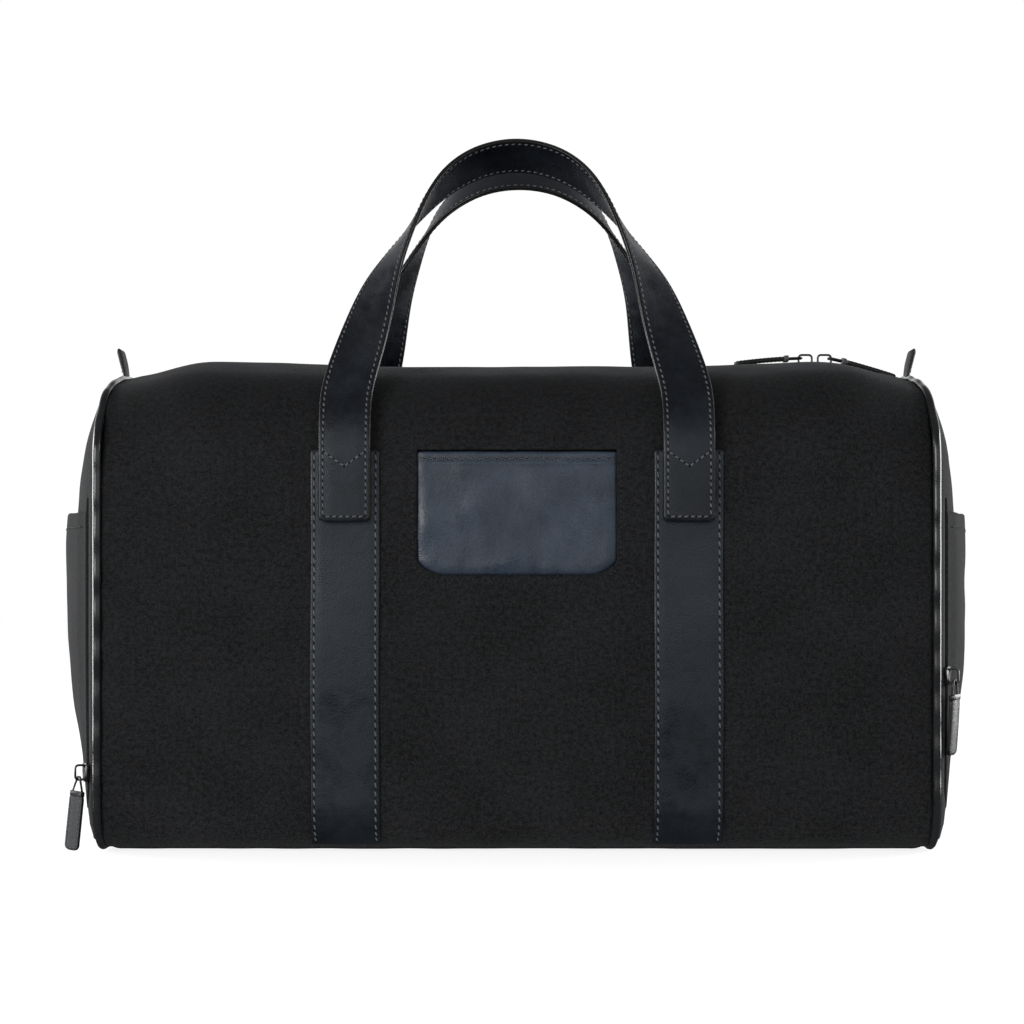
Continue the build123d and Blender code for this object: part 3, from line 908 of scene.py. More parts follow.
def end_canvas(side, sign):
    """One domed end as a single cloth, slit along its zip."""
    seam = whole_ring(SEAM_RING)
    outer = whole_ring(half_ring(HALF_D - ZIP_Y - SLIT_HALF, 10, ZIP_LOW_Z - SLIT_HALF, ZIP_R + SLIT_HALF))
    inner = whole_ring(half_ring(HALF_D - ZIP_Y + SLIT_HALF, 14, ZIP_LOW_Z + SLIT_HALF, ZIP_R - SLIT_HALF))
    core = np.array([0, MIDDLE_Z])
    loops = [seam, seam * 0.75 + outer * 0.25, seam * 0.4 + outer * 0.6, outer, inner]
    slit_row = 3
    loops += [core + (inner - core) * share for share in (1 - np.linspace(0, 0.97, 22)[1:] ** 1.15)]
    loops = np.array(loops)
    y, z = loops[..., 0], loops[..., 1]
    points = on_dome(y, z, sign)
    points[0, :, 0] = sign * (DOME_EDGE_X - 1.2)
    rows, columns = y.shape
    faces = grid_faces(rows, columns, wrap_columns=True)
    row, column = np.divmod(faces[:, 0], columns)
    beside = (column + 1) % columns
    open_here = (np.minimum(z[slit_row, column], z[slit_row, beside]) < FLAP_TOP_Z - 0.1) & (row == slit_row)
    faces = faces[~open_here].tolist()
    faces.append([(rows - 1) * columns + k for k in range(columns)])
    obj = make(f"{side}_end_canvas", points, faces, np.stack([y, z], -1), inside=(sign * 150, 0, MIDDLE_Z))
    dress(obj, "canvas", CANVAS, LINING_UV)
    solidify(obj, CANVAS_T, inner_material=1)
    ride_flap(obj, flap_share)
    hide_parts(f"{side}_end_panel", f"{side}_end_flap")


def pocket_reach(y, z):
    """How far the slip pocket stands off its dome."""
    fill = 1.4 + 4.6 * smooth(44, 150, z)
    gape = 1.3 * smooth(150, 214, z) * (1 - (y / 100) ** 2)
    return (fill + np.maximum(gape, 0)) * (1 - 0.86 * np.abs(y / 115) ** 3.2)


def slip_pocket(side, sign):
    """The open pocket on an end flap, with a turned hem, sewn into the flap's zip seam."""
    half, low, radius, mouth = ZIP_Y - SLIT_HALF - 0.9, ZIP_LOW_Z + SLIT_HALF + 0.5, 18.0, 213.4
    across = lines((-half, 2), (-half + 20, 5), (half - 20, 2), (half, 2))
    share = lines((0, 0.012), (0.1, 0.03), (0.9, 0.012), (1, 0.012))
    y, s = np.meshgrid(across, share)
    over = np.clip(np.abs(y) - (half - radius), 0, radius)
    bottom = low + radius - np.sqrt(np.maximum(radius**2 - over**2, 0))
    top = mouth - 1.2 * np.cos(y / half * math.pi / 2) + 0.3 * soft_waves(y + 200 * sign, np.zeros_like(y))
    z = bottom + s * (top - bottom)
    seam = smooth(2, 14, half - np.abs(y))
    rim = 0.5 * seam + 0.5
    sewn = 0.12 + 0.88 * seam
    points = on_dome(y, z, sign, pocket_reach(y, z) * rim + sewn)
    hem_y, hem_z = y[-1], z[-1]
    for inset, drop in ((0.5, -0.35), (1.3, 0.1), (1.9, 2.5), (2.0, 12.0)):
        lower = hem_z - drop
        fold = on_dome(hem_y, lower, sign, pocket_reach(hem_y, lower) * rim[-1] + sewn[-1] - inset * 0.8)
        points = np.concatenate([points, fold[None]])
        y, z = np.vstack([y, hem_y]), np.vstack([z, 2 * mouth - lower])
    uv, core = np.stack([y, z], -1), (sign * 150, 0, MIDDLE_Z)
    obj = make(f"{side}_slip_pocket", points, grid_faces(*y.shape), uv, inside=core)
    dress(obj, "canvas", CANVAS, CANVAS)
    solidify(obj, 1.1)
    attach(obj, f"{side}_flap")
    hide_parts(f"{side}_end_pocket")
    row_y = np.linspace(-half + 6, half - 6, 90)
    row_z = np.interp(row_y, across, z[len(share) - 1]) - 9.0
    row = on_dome(row_y, row_z, sign, pocket_reach(row_y, row_z) * 0.98 + 1.15)
    rows = [(row, dome_normal(row_y, row_z, sign))]
    hem = sew(f"{side}_slip_pocket_stitching", rows, 3.4, 0.34, "canvas", CANVAS_THREAD)
    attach(hem, f"{side}_flap")


def piping(side, sign):
    """The leather cord over an end seam, a round tube sunk a little into it."""
    count, sides, ripples = 420, 14, 41
    ring = resample(np.vstack([whole_ring(SEAM_RING), SEAM_RING[:1]]), count + 1)[:-1]
    wobble = 0.18 * np.sin(np.arange(count) / count * 2 * math.pi * ripples + sign)
    centre = np.stack([np.full(count, sign * SEAM_X), ring[:, 0], ring[:, 1]], -1)
    outward = unit(centre - np.array([sign * SEAM_X, 0, MIDDLE_Z]))
    away = np.roll(centre, -1, 0) - np.roll(centre, 1, 0)
    normal = unit(np.cross(away, [sign, 0, 0]))
    normal *= np.sign((normal * outward).sum(1, keepdims=True))
    centre = centre - normal * (0.9 + wobble[:, None])
    centre[:, 2] = np.maximum(centre[:, 2], PIPING_R + 0.1)
    across, up = frames_along(centre, np.array([1.0, 0, 0]), closed=True)
    points, faces, uv = tube_mesh(centre, across, up, circle(PIPING_R, sides), closed=True)
    inside = np.repeat(centre, sides, axis=0)
    obj = make(f"{side}_piping", points, faces, uv, inside=inside)
    dress(obj, "piping_leather", PIPING)
    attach(obj, "bag")
    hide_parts(f"{side}_end_piping")


# ---------------------------------------------------------------- leather pieces


def band(face, sign):
    """One leather band down the front or rear, with its two rows of stitching."""
    side, where = ("left" if sign < 0 else "right"), ("front" if face < 0 else "rear")
    half = BAND_HALF
    profile = [
        (-half, -0.4), (-half, 1.1), (-half + 0.4, 1.75), (-half + 1.3, 2.05), (-half + 2.5, 1.8),
        (-half + 3.8, 2.1), (-half + 8, 2.3), (-7, 2.45), (0, 2.5),
    ]
    profile = np.array(profile + [(-x, height) for x, height in profile[:-1][::-1]])
    start, end = down_to(BAND_TOP_Z), T_SIDE + BASE_R * 1.07
    down = lines((start, 0.6), (start + 2.4, 4), (end - 2, 1), (end, 1))
    into = np.minimum(down - start, 2.4)
    corner = 1 - (2.4 - np.sqrt(np.maximum(2.4**2 - (2.4 - into) ** 2, 0))) / half
    thin = np.where(down - start < 2.4, 0.72 + 0.28 * smooth(0, 2.0, down - start), 1.0)
    thin = thin * (1 - 0.65 * smooth(T_SIDE + 10, end, down))
    x = sign * BAND_X + profile[None, :, 0] * corner[:, None]
    x = x + 0.15 * np.sin(down / 23 + sign + face)[:, None]
    height = profile[None, :, 1] * thin[:, None]
    t = np.broadcast_to(down[:, None], x.shape)
    points = on_sleeve(x, t, face, height * BAND_T / 2.5)
    middle = on_sleeve(np.full(len(down), sign * BAND_X), down, face, 0.4)
    rows, columns = x.shape
    faces = grid_faces(rows, columns).tolist()
    faces += [list(range(columns)), [(rows - 1) * columns + k for k in range(columns)][::-1]]
    inside = np.repeat(middle, columns, axis=0)
    column = np.arange((rows - 1) * (columns - 1)) % (columns - 1)
    groups = np.append((column < 2) | (column > columns - 4), [True, True])
    uv = np.stack([t, x], -1)
    obj = make(f"{where}_band_{side}_leather", points, faces, uv, inside=inside, groups=groups)
    dress(obj, "band_leather", BAND, EDGE_PAINT)
    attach(obj, "bag")
    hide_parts(f"{where}_band_{side}")
    rows = []
    for edge in (-1, 1):
        run = np.linspace(start + 2.5, end - 4, 160)
        at = np.full_like(run, sign * BAND_X + edge * (half - 2.5))
        lift = 1.56 * (1 - 0.65 * smooth(T_SIDE + 10, end, run))
        rows.append((on_sleeve(at, run, face, lift), sleeve_normal(at, run, face)))
    stitches = sew(f"{where}_band_{side}_stitching", rows, 5.4, 0.6, "band_leather", THREAD)
    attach(stitches, "bag")


STRAP_SECTION = [
    (-15.4, 0.0), (-16.0, 0.55), (-16.0, 1.55), (-15.5, 2.1), (-14.6, 2.28), (-13.2, 2.02),
    (-11.8, 2.26), (-6.0, 2.3), (0.0, 2.32),
]


def strap_section():
    """The strap's outline: two bonded layers with a groove between them and a sewn channel at each edge."""
    upper = STRAP_SECTION + [(-x, h) for x, h in STRAP_SECTION[:-1][::-1]]
    lower = [(x, -h) for x, h in upper[1:-1][::-1]]
    return np.array(upper + lower)


def handle_leg(lean, radius):
    """A strap's centre line at X 0, from its foot up over the bend at its root."""
    leg_z = lines((FOOT_Z, 0.7), (FOOT_Z + 3.5, 3), (CORNER_Z, 3))
    angle = np.linspace(0, lean, 14)[1:-1]
    straight = np.stack([np.zeros_like(leg_z), np.full_like(leg_z, -STRAP_Y), leg_z], -1)
    depth, height = -SHOULDER_Y - radius * np.cos(angle), CORNER_Z + radius * np.sin(angle)
    return np.concatenate([straight, np.stack([np.zeros_like(angle), depth, height], -1)])


def handle_line(which):
    """Centre line, width and outward directions of one handle, from foot to foot."""
    lean = math.radians(HANDLE_LEAN[which])
    radius = STRAP_Y - SHOULDER_Y
    up = np.array([0, math.sin(lean), math.cos(lean)])
    out = np.array([0, -math.cos(lean), math.sin(lean)])
    top = np.array([0, -SHOULDER_Y, CORNER_Z]) + radius * out
    right = HANDLE_LINE[which]
    left = [(-x, u) for x, u in right]
    flat = curve_through(left + [(0, HANDLE_TOP[which])] + right[::-1], (0, 1), (0, -1), 3.0)
    if which == "rear":
        flat[:, 0] += REAR_SHIFT * smooth(10, 130, flat[:, 1])
    along = unit(np.gradient(flat, axis=0))
    travelled = lengths_along(flat)
    share = np.minimum(np.minimum(travelled, travelled[-1] - travelled) / TWIST_LENGTH[which], 1)
    twist = (math.pi / 2 * smooth(0, 1, share))[:, None]
    arch = top + flat[:, :1] * [1, 0, 0] + flat[:, 1:] * up
    side = along[:, 1:] * np.array([1.0, 0, 0]) - along[:, :1] * up
    width = side * np.cos(twist) + out * np.sin(twist)
    leg = handle_leg(lean, radius)
    left, right = leg + [-HANDLE_X, 0, 0], (leg + [HANDLE_X, 0, 0])[::-1]
    inner = np.tile([1.0, 0, 0], (len(leg), 1))
    line = np.concatenate([left, arch, right])
    width = np.concatenate([inner, width, -inner])
    if which == "rear":
        line, width = line * [1, -1, 1], width * [1, -1, 1]
    tangent = unit(np.gradient(line, axis=0))
    width = unit(width - tangent * (width * tangent).sum(1, keepdims=True))
    normal = np.cross(width, tangent) * (1 if which == "front" else -1)
    return line, width, normal


def strap_share(from_end):
    """The strap's thickness along its run: full at its sewn feet, thinner over the arch."""
    return 1 - 0.36 * smooth(45, 130, from_end)


def handle_share(points):
    """How far each point follows a handle: none on its sewn feet, all of it above them."""
    return smooth(236, 250, points[:, 2])


def ride_handle(obj):
    """Bakes the placement of a piece on a strap and works out its handle share, but blends nothing."""
    bend(obj, handle_share)


def handle_rows(line, width, normal, from_end, face):
    """Rows of stitching on a strap: along both edges, across each foot, and its V."""
    inset = STRAP_HALF - 2.8
    lift = 2.05 * strap_share(from_end)[:, None] * normal
    keep = from_end > 3.2
    raised = keep & (from_end > 26)
    rows = []
    for side in (-1, 1):
        rows.append((line[keep] + width[keep] * side * inset + lift[keep], normal[keep]))
        under = line[raised] + width[raised] * side * inset - lift[raised]
        rows.append((under, -normal[raised]))
    outward, y = [0.0, face, 0.0], face * (STRAP_Y + 2.28)
    for x in (-HANDLE_X, HANDLE_X):
        bottom = np.array([[x - inset + 1, y, FOOT_Z + 3], [x + inset - 1, y, FOOT_Z + 3]])
        rows.append((resample(bottom, 12), np.tile(outward, (12, 1))))
        for slope in (-1, 1):
            notch = np.array([[x + slope * 12.6, y, 250], [x, y, 241.0]])
            rows.append((resample(notch, 8), np.tile(outward, (8, 1))))
    return rows


def handle(which, face):
    """One carrying strap in one run: sewn foot, twisting leg, flat arch, and down again."""
    line, width, normal = handle_line(which)
    travelled = lengths_along(line)
    from_end = np.minimum(travelled, travelled[-1] - travelled)
    corner = 3.0
    tight = np.sqrt(np.maximum(corner**2 - np.maximum(corner - from_end, 0) ** 2, 0))
    narrow = (STRAP_HALF - corner + tight) / STRAP_HALF
    section_points = strap_section() * [STRAP_HALF / 16, 1]
    profile = np.repeat(section_points[None], len(line), axis=0)
    profile[..., 0] *= narrow[:, None]
    profile[..., 1] *= ((0.8 + 0.2 * smooth(0, 2.0, from_end)) * strap_share(from_end))[:, None]
    points, faces, uv = tube_mesh(line, width, normal, profile)
    sides = len(section_points)
    reach = np.abs(section_points[:, 0])
    painted = ((reach >= 15) | (np.roll(reach, -1) >= 15.2)).astype(int).tolist()
    groups = [painted[index % sides] for index in range(len(faces) - 2)] + [1, 1]
    inside = np.repeat(line, sides, axis=0)
    obj = make(f"{which}_handle_strap", points, faces, uv, inside=inside, groups=groups)
    dress(obj, "handle_leather", HANDLE, EDGE_PAINT)
    ride_handle(obj)
    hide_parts(f"{which}_handle", f"{which}_handle_foot_left", f"{which}_handle_foot_right")
    rows = handle_rows(line, width, normal, from_end, face)
    stitches = sew(f"{which}_handle_stitching", rows, 4.3, 0.55, "handle_leather", THREAD)
    ride_handle(stitches)


def pocket_panel():
    """The leather front of the patch pocket: a padded panel that rolls under the window's edges."""
    half, low, mouth = WINDOW_X + 5, WINDOW_Z[0] - 5, WINDOW_Z[1] - 1.3
    across = lines((-half, 1.2), (-half + 18, 4), (half - 18, 1.2), (half, 1.2))
    start, end = down_to(mouth), down_to(low)
    down = lines((start, 1.0), (start + 8, 4), (end - 18, 1.4), (end, 1.4))
    x, t = np.meshgrid(across, down)
    reach = np.abs(x)
    cut_x, cut_t = WINDOW_CUT
    share = np.clip((reach - WINDOW_X + cut_x) / cut_x, 0, 1)
    floor_t = WINDOW_T[1] - cut_t * corner_cut(share)
    edge = np.minimum(WINDOW_X - reach, floor_t - t)
    inward = np.clip((edge + 1.2) / 8.0, 0, 1)
    roll = np.sqrt(inward * (2 - inward))
    depth = -3.7 + 3.5 * roll
    depth += 0.35 * np.sin(math.pi * np.clip((t - down[0]) / (down[-1] - down[0]), 0, 1))
    depth += (0.3 * waves(21, 34)(x, t) + 0.1 * waves(22, 12)(x, t)) * roll
    depth -= 0.7 * (1 - smooth(0, 1.2, t - down[0]))
    depth -= 0.45 * np.exp(-(((t - down[0] - 7.0) / 0.6) ** 2)) * roll
    points = on_sleeve(x, t, -1, depth)
    uv = np.stack([x, t], -1)
    obj = make("patch_pocket_leather", points, grid_faces(*x.shape), uv, inside=(0, 0, MIDDLE_Z))
    dress(obj, "pocket_leather", POCKET, EDGE_PAINT)
    solidify(obj, 1.3, rim_material=1)
    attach(obj, "bag")
    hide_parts("front_pocket_panel")
    pocket_hem(start)


def pocket_hem(mouth_t):
    """A zigzag row along the pocket's mouth."""
    corners = 81
    run = np.linspace(-WINDOW_X + 2, WINDOW_X - 2, corners)
    at = mouth_t + 4.6 + 0.75 * np.where(np.arange(corners) % 2, 1, -1)
    row = (on_sleeve(run, at, -1, 0.22), sleeve_normal(run, at, -1))
    hem = sew("patch_pocket_stitching", [row], 1.71, 0.34, "pocket_leather", THREAD, slant=0)
    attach(hem, "bag")


def window_stitching():
    """The row in the canvas round the pocket's window, down both sides and under its cut corners."""
    margin = 2.6
    cut_x, cut_t = WINDOW_CUT
    side_t = np.linspace(WINDOW_T[0] + 2, WINDOW_T[1] - cut_t - margin, 24)
    angle = np.linspace(0, math.pi / 2, 14)
    corner_x = WINDOW_X - cut_x + (cut_x + margin) * np.cos(angle)
    corner_t = WINDOW_T[1] - cut_t + (cut_t + margin) * np.sin(angle)
    bottom_x = np.linspace(WINDOW_X - cut_x, 0, 16)
    run_x = np.concatenate([np.full(24, WINDOW_X + margin), corner_x, bottom_x[1:]])
    run_t = np.concatenate([side_t, corner_t, np.full(15, WINDOW_T[1] + margin)])
    run_x, run_t = np.concatenate([run_x, -run_x[::-1][1:]]), np.concatenate([run_t, run_t[::-1][1:]])
    around = (on_sleeve(run_x, run_t, -1, 0.05), sleeve_normal(run_x, run_t, -1))
    seam = sew("patch_window_stitching", [around], 3.2, 0.28, "canvas", CANVAS_THREAD)
    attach(seam, "bag")


def end_tab(side, sign):
    """The short folded leather pull at one end of the top zip: a loop, thicker where it turns."""
    stations = [(263.6, 298.0), (264.4, 308.0), (266.4, 318.0), (268.9, 327.4)]
    spine = curve_through(stations, (0.05, 1), (0.3, 1), 0.8)
    along = lengths_along(spine) / lengths_along(spine)[-1]
    tangent = unit(np.gradient(spine, axis=0))
    normal = np.stack([tangent[:, 1], -tangent[:, 0]], -1)
    tip = np.sqrt(np.clip(1 - (np.clip((along - 0.9) / 0.1, 0, 1)) ** 2, 0.03, 1))
    thick = (0.95 + 0.75 * smooth(0.3, 0.7, along)) * tip
    loop = np.vstack([spine + normal * thick[:, None], (spine - normal * thick[:, None])[::-1]])
    width = np.array([-8, -7.9, -7.5, -6.7, -4, 0, 4, 6.7, 7.5, 7.9, 8.0])
    shrink = np.sqrt(np.clip(1 - (np.clip(np.abs(width) - 6.6, 0, None) / 1.45) ** 2, 0.05, 1))
    rows = []
    foot, middle = stations[0][1], np.append(spine[:, 0], spine[::-1, 0])
    for depth, share in zip(width, shrink):
        height = foot + (loop[:, 1] - foot) * (0.95 + 0.05 * share)
        reach = middle + (loop[:, 0] - middle) * share
        rows.append(np.stack([sign * reach, np.full(len(loop), depth), height], -1))
    points = np.array(rows)
    count, size = points.shape[:2]
    faces = grid_faces(count, size, wrap_columns=True).tolist()
    faces += [list(range(size)), [(count - 1) * size + k for k in range(size)][::-1]]
    uv = np.stack(np.meshgrid(width, lengths_along(loop), indexing="ij"), -1)
    obj = make(f"{side}_end_tab_leather", points, faces, uv)
    recalculate(obj)
    dress(obj, "band_leather", TAB)
    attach(obj, "bag")
    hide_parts(f"{side}_end_tab")
    rows = []
    for depth_sign in (-1, 1):
        here = resample(spine[4:-6] + normal[4:-6] * 1.5, 14)
        rows.append((
            np.stack([sign * here[:, 0], np.full(14, depth_sign * 6.0), here[:, 1]], -1),
            np.tile([sign * 0.95, 0, -0.2], (14, 1)),
        ))
    stitches = sew(f"{side}_end_tab_stitching", rows, 3.0, 0.26, "band_leather", THREAD)
    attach(stitches, "bag")


# ---------------------------------------------------------------- zips


def tooth_shape():
    """One moulded tooth: X along the chain, Y away from the slit, Z out."""
    half, reach = TOOTH_PITCH * 0.31, 2.9
    left = [(-half, reach), (-half, 0.9), (-half * 0.55, 0.1)]
    outline = np.array(left + [(-x, y) for x, y in left[::-1]])
    low = np.column_stack([outline, np.full(6, -1.5)])
    rim = np.column_stack([outline, np.full(6, 1.0)])
    top = np.column_stack([outline * [0.72, 0.9] + [0, 0.15], np.full(6, 1.5)])
    faces = [[k, (k + 1) % 6, 6 + (k + 1) % 6, 6 + k] for k in range(6)]
    faces += [[6 + k, 6 + (k + 1) % 6, 12 + (k + 1) % 6, 12 + k] for k in range(6)]
    faces += [[12, 13, 14, 15, 16, 17], [5, 4, 3, 2, 1, 0]]
    return np.vstack([low, rim, top]), faces


def teeth(name, path, normals, away, shift):
    """A row of teeth beside a path. away is the direction from the slit, shift staggers the row."""
    total = lengths_along(path)[-1]
    count = int(total / TOOTH_PITCH) - 1
    along = lengths_along(path)
    at = (np.arange(count) + 0.5 + shift) * TOOTH_PITCH
    spots = np.stack([np.interp(at, along, path[:, k]) for k in range(3)], -1)
    out = unit(np.stack([np.interp(at, along, normals[:, k]) for k in range(3)], -1))
    beside = unit(np.stack([np.interp(at, along, away[:, k]) for k in range(3)], -1))
    direction = np.cross(beside, out)
    shape, faces = tooth_shape()
    points, all_faces = repeat(shape, faces, spots, direction, beside, out)
    obj = make(name, points, all_faces, inside=np.repeat(spots + beside * 1.6, len(shape), axis=0))
    for polygon in obj.data.polygons:
        polygon.use_smooth = False
    return dress(obj, "zip_teeth", TEETH)


def top_zip(face):
    """Tape and teeth of one side of the top zip, along the whole opening."""
    where = "front" if face < 0 else "rear"
    x = lines((-CHAIN_END_X, 5), (CHAIN_END_X, 5))
    across = np.array([3.0, 5.5, 8.5, 12.0])
    grid_x, grid_t = np.meshgrid(x, across)
    points = on_sleeve(grid_x, grid_t, face, -3.4)
    uv = np.stack([grid_x, grid_t], -1)
    tape = make(f"top_tape_{where}", points, grid_faces(*grid_x.shape), uv, inside=(0, 0, 0))
    dress(tape, "zip_tape", TAPE)
    solidify(tape, 0.7)
    ride_mouth(tape)
    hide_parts(f"top_zip_tape_{where}", "top_zip_tape_ends")
    edge = np.full_like(x, 0.25)
    path, normals = on_sleeve(x, edge, face, -3.4), sleeve_normal(x, edge, face)
    away = np.tile([0, float(face), 0], (len(x), 1))
    row = teeth(f"top_teeth_{where}", path, normals, away, 0.0 if face < 0 else 0.5)
    ride_mouth(row)
    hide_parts(f"top_zip_teeth_{where}", "top_zip_teeth_ends")
    run = lines((-CHAIN_END_X + 4, 3), (CHAIN_END_X - 4, 3))
    at = np.full_like(run, 9.2)
    rows = [(on_sleeve(run, at, face, 0.04), sleeve_normal(run, at, face))]
    stitches = sew(f"top_zip_stitching_{where}", rows, 3.4, 0.32, "canvas", CANVAS_THREAD)
    ride_mouth(stitches)


def u_path(step=3.0):
    """The end zip's U as (depth, height), from the rear top to the front top."""
    half, low, radius = ZIP_Y, ZIP_LOW_Z, ZIP_R
    angle = np.linspace(0, math.pi / 2, 16)
    corner = np.stack([half - radius + radius * np.cos(angle), low + radius - radius * np.sin(angle)], -1)
    side = np.vstack([[half, FLAP_TOP_Z], corner, [0, low]])
    side = resample(side, round(lengths_along(side)[-1] / step) + 1)
    return np.vstack([side, side[::-1][1:] * [-1, 1]])


def end_zip(side, sign):
    """Tapes and teeth of an end zip: one set on the fixed ring and one on the flap."""
    for name, way in (("ring", 1), ("flap", -1)):
        base_path = u_path()
        tangent = unit(np.gradient(base_path, axis=0))
        outward = np.stack([-tangent[:, 1], tangent[:, 0]], -1)
        outward *= np.sign((outward * (base_path - [0, MIDDLE_Z])).sum(1, keepdims=True))
        reach = np.array([3.0, 5.5, 8.5, 10.5])
        loops = base_path[None] + outward[None] * (reach * way)[:, None, None]
        if name == "ring":
            loops[..., 0] = np.clip(loops[..., 0], -HALF_D + 1.5, HALF_D - 1.5)
        y, z = loops[..., 0], loops[..., 1]
        depth = np.broadcast_to(-3.4, y.shape)
        along = np.broadcast_to(lengths_along(base_path)[None], y.shape)
        points = on_dome(y, z, sign, depth)
        uv, core = np.stack([along, np.broadcast_to(reach[:, None], y.shape)], -1), (sign * 150, 0, MIDDLE_Z)
        tape = make(f"{side}_end_tape_{name}", points, grid_faces(*y.shape), uv, inside=core)
        dress(tape, "zip_tape", TAPE)
        solidify(tape, 0.7)
        offset = 0.25 * way
        path = base_path + outward * offset
        spots = on_dome(path[:, 0], path[:, 1], sign, -3.4)
        normals = dome_normal(path[:, 0], path[:, 1], sign)
        away = np.column_stack([np.zeros(len(path)), outward * way])
        away = unit(away - normals * (away * normals).sum(1, keepdims=True))
        row = teeth(f"{side}_end_teeth_{name}", spots, normals, away, 0.0 if way > 0 else 0.5)
        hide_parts(f"{side}_end_zip_tape_{name}")
        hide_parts(f"{side}_end_zip_teeth_{name}")
        for piece in (tape, row):
            if name == "flap":
                ride_flap(piece)
            else:
                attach(piece, "bag")


# ---------------------------------------------------------------- sliders and pulls


def place_in(plane, points):
    """Points of a local frame (origin, x, y, z directions), in the bag's axes."""
    origin, along, across, out = plane
    points = np.asarray(points, float).reshape(-1, 3)
    return origin + points[:, :1] * along + points[:, 1:2] * across + points[:, 2:] * out


def plate(outline, low, high):
    """A flat plate: an outline in the local XY, between two heights."""
    outline = np.asarray(outline, float)
    count = len(outline)
    points = np.vstack([np.column_stack([outline, np.full(count, z)]) for z in (low, high)])
    faces = [[k, (k + 1) % count, count + (k + 1) % count, count + k] for k in range(count)]
    faces += [list(range(count))[::-1], [count + k for k in range(count)]]
    return points, faces, points[:, :2]


def wire(path, radius, up_hint, closed=False, squash=1.0):
    """A round wire along a path."""
    path = np.asarray(path, float)
    across, up = frames_along(path, np.array(up_hint, float), closed)
    return tube_mesh(path, across, up, circle(radius, 10, squash), closed)


def rounded_loop(half_x, half_y, radius, steps=5):
    """A rounded rectangle as points, in its own plane."""
    points = []
    for quarter, corner in enumerate(((1, 1), (-1, 1), (-1, -1), (1, -1))):
        centre = np.array(corner) * (half_x - radius, half_y - radius)
        for k in range(steps + 1):
            angle = math.pi / 2 * (quarter + k / steps)
            points.append(centre + radius * np.array([math.cos(angle), math.sin(angle)]))
    return np.array(points)


SLIDER_OUTLINE = [
    (-6.0, -2.6), (-5.6, -3.4), (-4.2, -4.3), (-1.0, -4.5), (2.4, -3.9), (5.2, -3.2), (6.0, -2.4),
    (6.0, 2.4), (5.2, 3.2), (2.4, 3.9), (-1.0, 4.5), (-4.2, 4.3), (-5.6, 3.4), (-6.0, 2.6),
]


def slider(name, plane, body, node, skew=0.0):
    """A zip slider: top plate with side lips, its neck and floor, and the wire bridge for the pull."""
    outline = np.array(SLIDER_OUTLINE)
    parts = [plate(outline, 0.7, 1.9), plate(outline * 0.93, -7.6, -6.2)]
    parts.append(plate([(-5.4, -0.45), (0.5, -0.45), (0.5, 0.45), (-5.4, 0.45)], -6.4, 1.0))
    for edge in (-1, 1):
        lip = [(-4.6, edge * 4.3), (5.0, edge * 3.3), (5.0, edge * 2.7), (-4.6, edge * 3.7)]
        parts.append(plate(lip if edge > 0 else lip[::-1], 0.0, 1.0))
    loop = rounded_loop(4.5, 3.1, 2.1)
    bridge = np.column_stack([loop[:, 0], np.zeros(len(loop)), loop[:, 1] + 4.6])
    parts.append(wire(bridge, 0.72, (0, 1, 0), closed=True, squash=1.25))
    points, faces, uv = joined(parts)
    tilt = math.radians(skew)
    below = np.minimum(points[:, 2] + 1.4, 0)
    points[:, 1] += below * math.tan(tilt)
    obj = make(name, place_in(plane, points), faces, uv)
    recalculate(obj)
    dress(obj, "zip_metal", METAL)
    soften(obj, 0.28)
    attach(obj, body)
    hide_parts(node)


def recalculate(obj):
    """Turns every closed part of a mesh outward."""
    shape = bmesh.new()
    shape.from_mesh(obj.data)
    bmesh.ops.recalc_face_normals(shape, faces=shape.faces)
    shape.to_mesh(obj.data)
    shape.free()


TONGUE_START, TONGUE_END = 10.2, 45.4
TONGUE_OUTLINE = [
    (-1.0, 0.0), (-1.0, 0.25), (-0.985, 0.7), (-0.93, 0.95), (-0.82, 1.0), (-0.7, 0.9), (-0.58, 1.0),
    (0.0, 1.06),
]


def hung(plane, hang, twist):
    """How a pull's points lie: twisted about its length and hanging down, in the bag's axes."""

    def posed(points):
        along = np.clip(points[:, 0] / 45, 0, 1)
        turn = np.radians(twist) * smooth(2, 9, points[:, 0])
        y = points[:, 1] * np.cos(turn) - points[:, 2] * np.sin(turn)
        z = points[:, 1] * np.sin(turn) + points[:, 2] * np.cos(turn)
        return place_in(plane, np.stack([points[:, 0], y, z - hang[0] * along ** hang[1]], -1))

    return posed


def pull_link(name, posed, body, node, width):
    """The wire link on the slider's bridge, and the metal clamp on the leather."""
    loop = rounded_loop(5.1, 3.5, 1.6)
    ring = np.column_stack([loop[:, 0] + 5.1, loop[:, 1], np.zeros(len(loop))])
    clamp_outline = rounded_loop(1.7, width * 0.43, 0.7, 3) + [10.4, 0]
    points, faces, uv = joined([wire(ring, 0.78, (0, 0, 1), closed=True), plate(clamp_outline, -2.0, 2.0)])
    obj = make(f"{name}_link", posed(points), faces, uv)
    recalculate(obj)
    dress(obj, "zip_metal", METAL)
    soften(obj, 0.3)
    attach(obj, body)
    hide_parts(node)


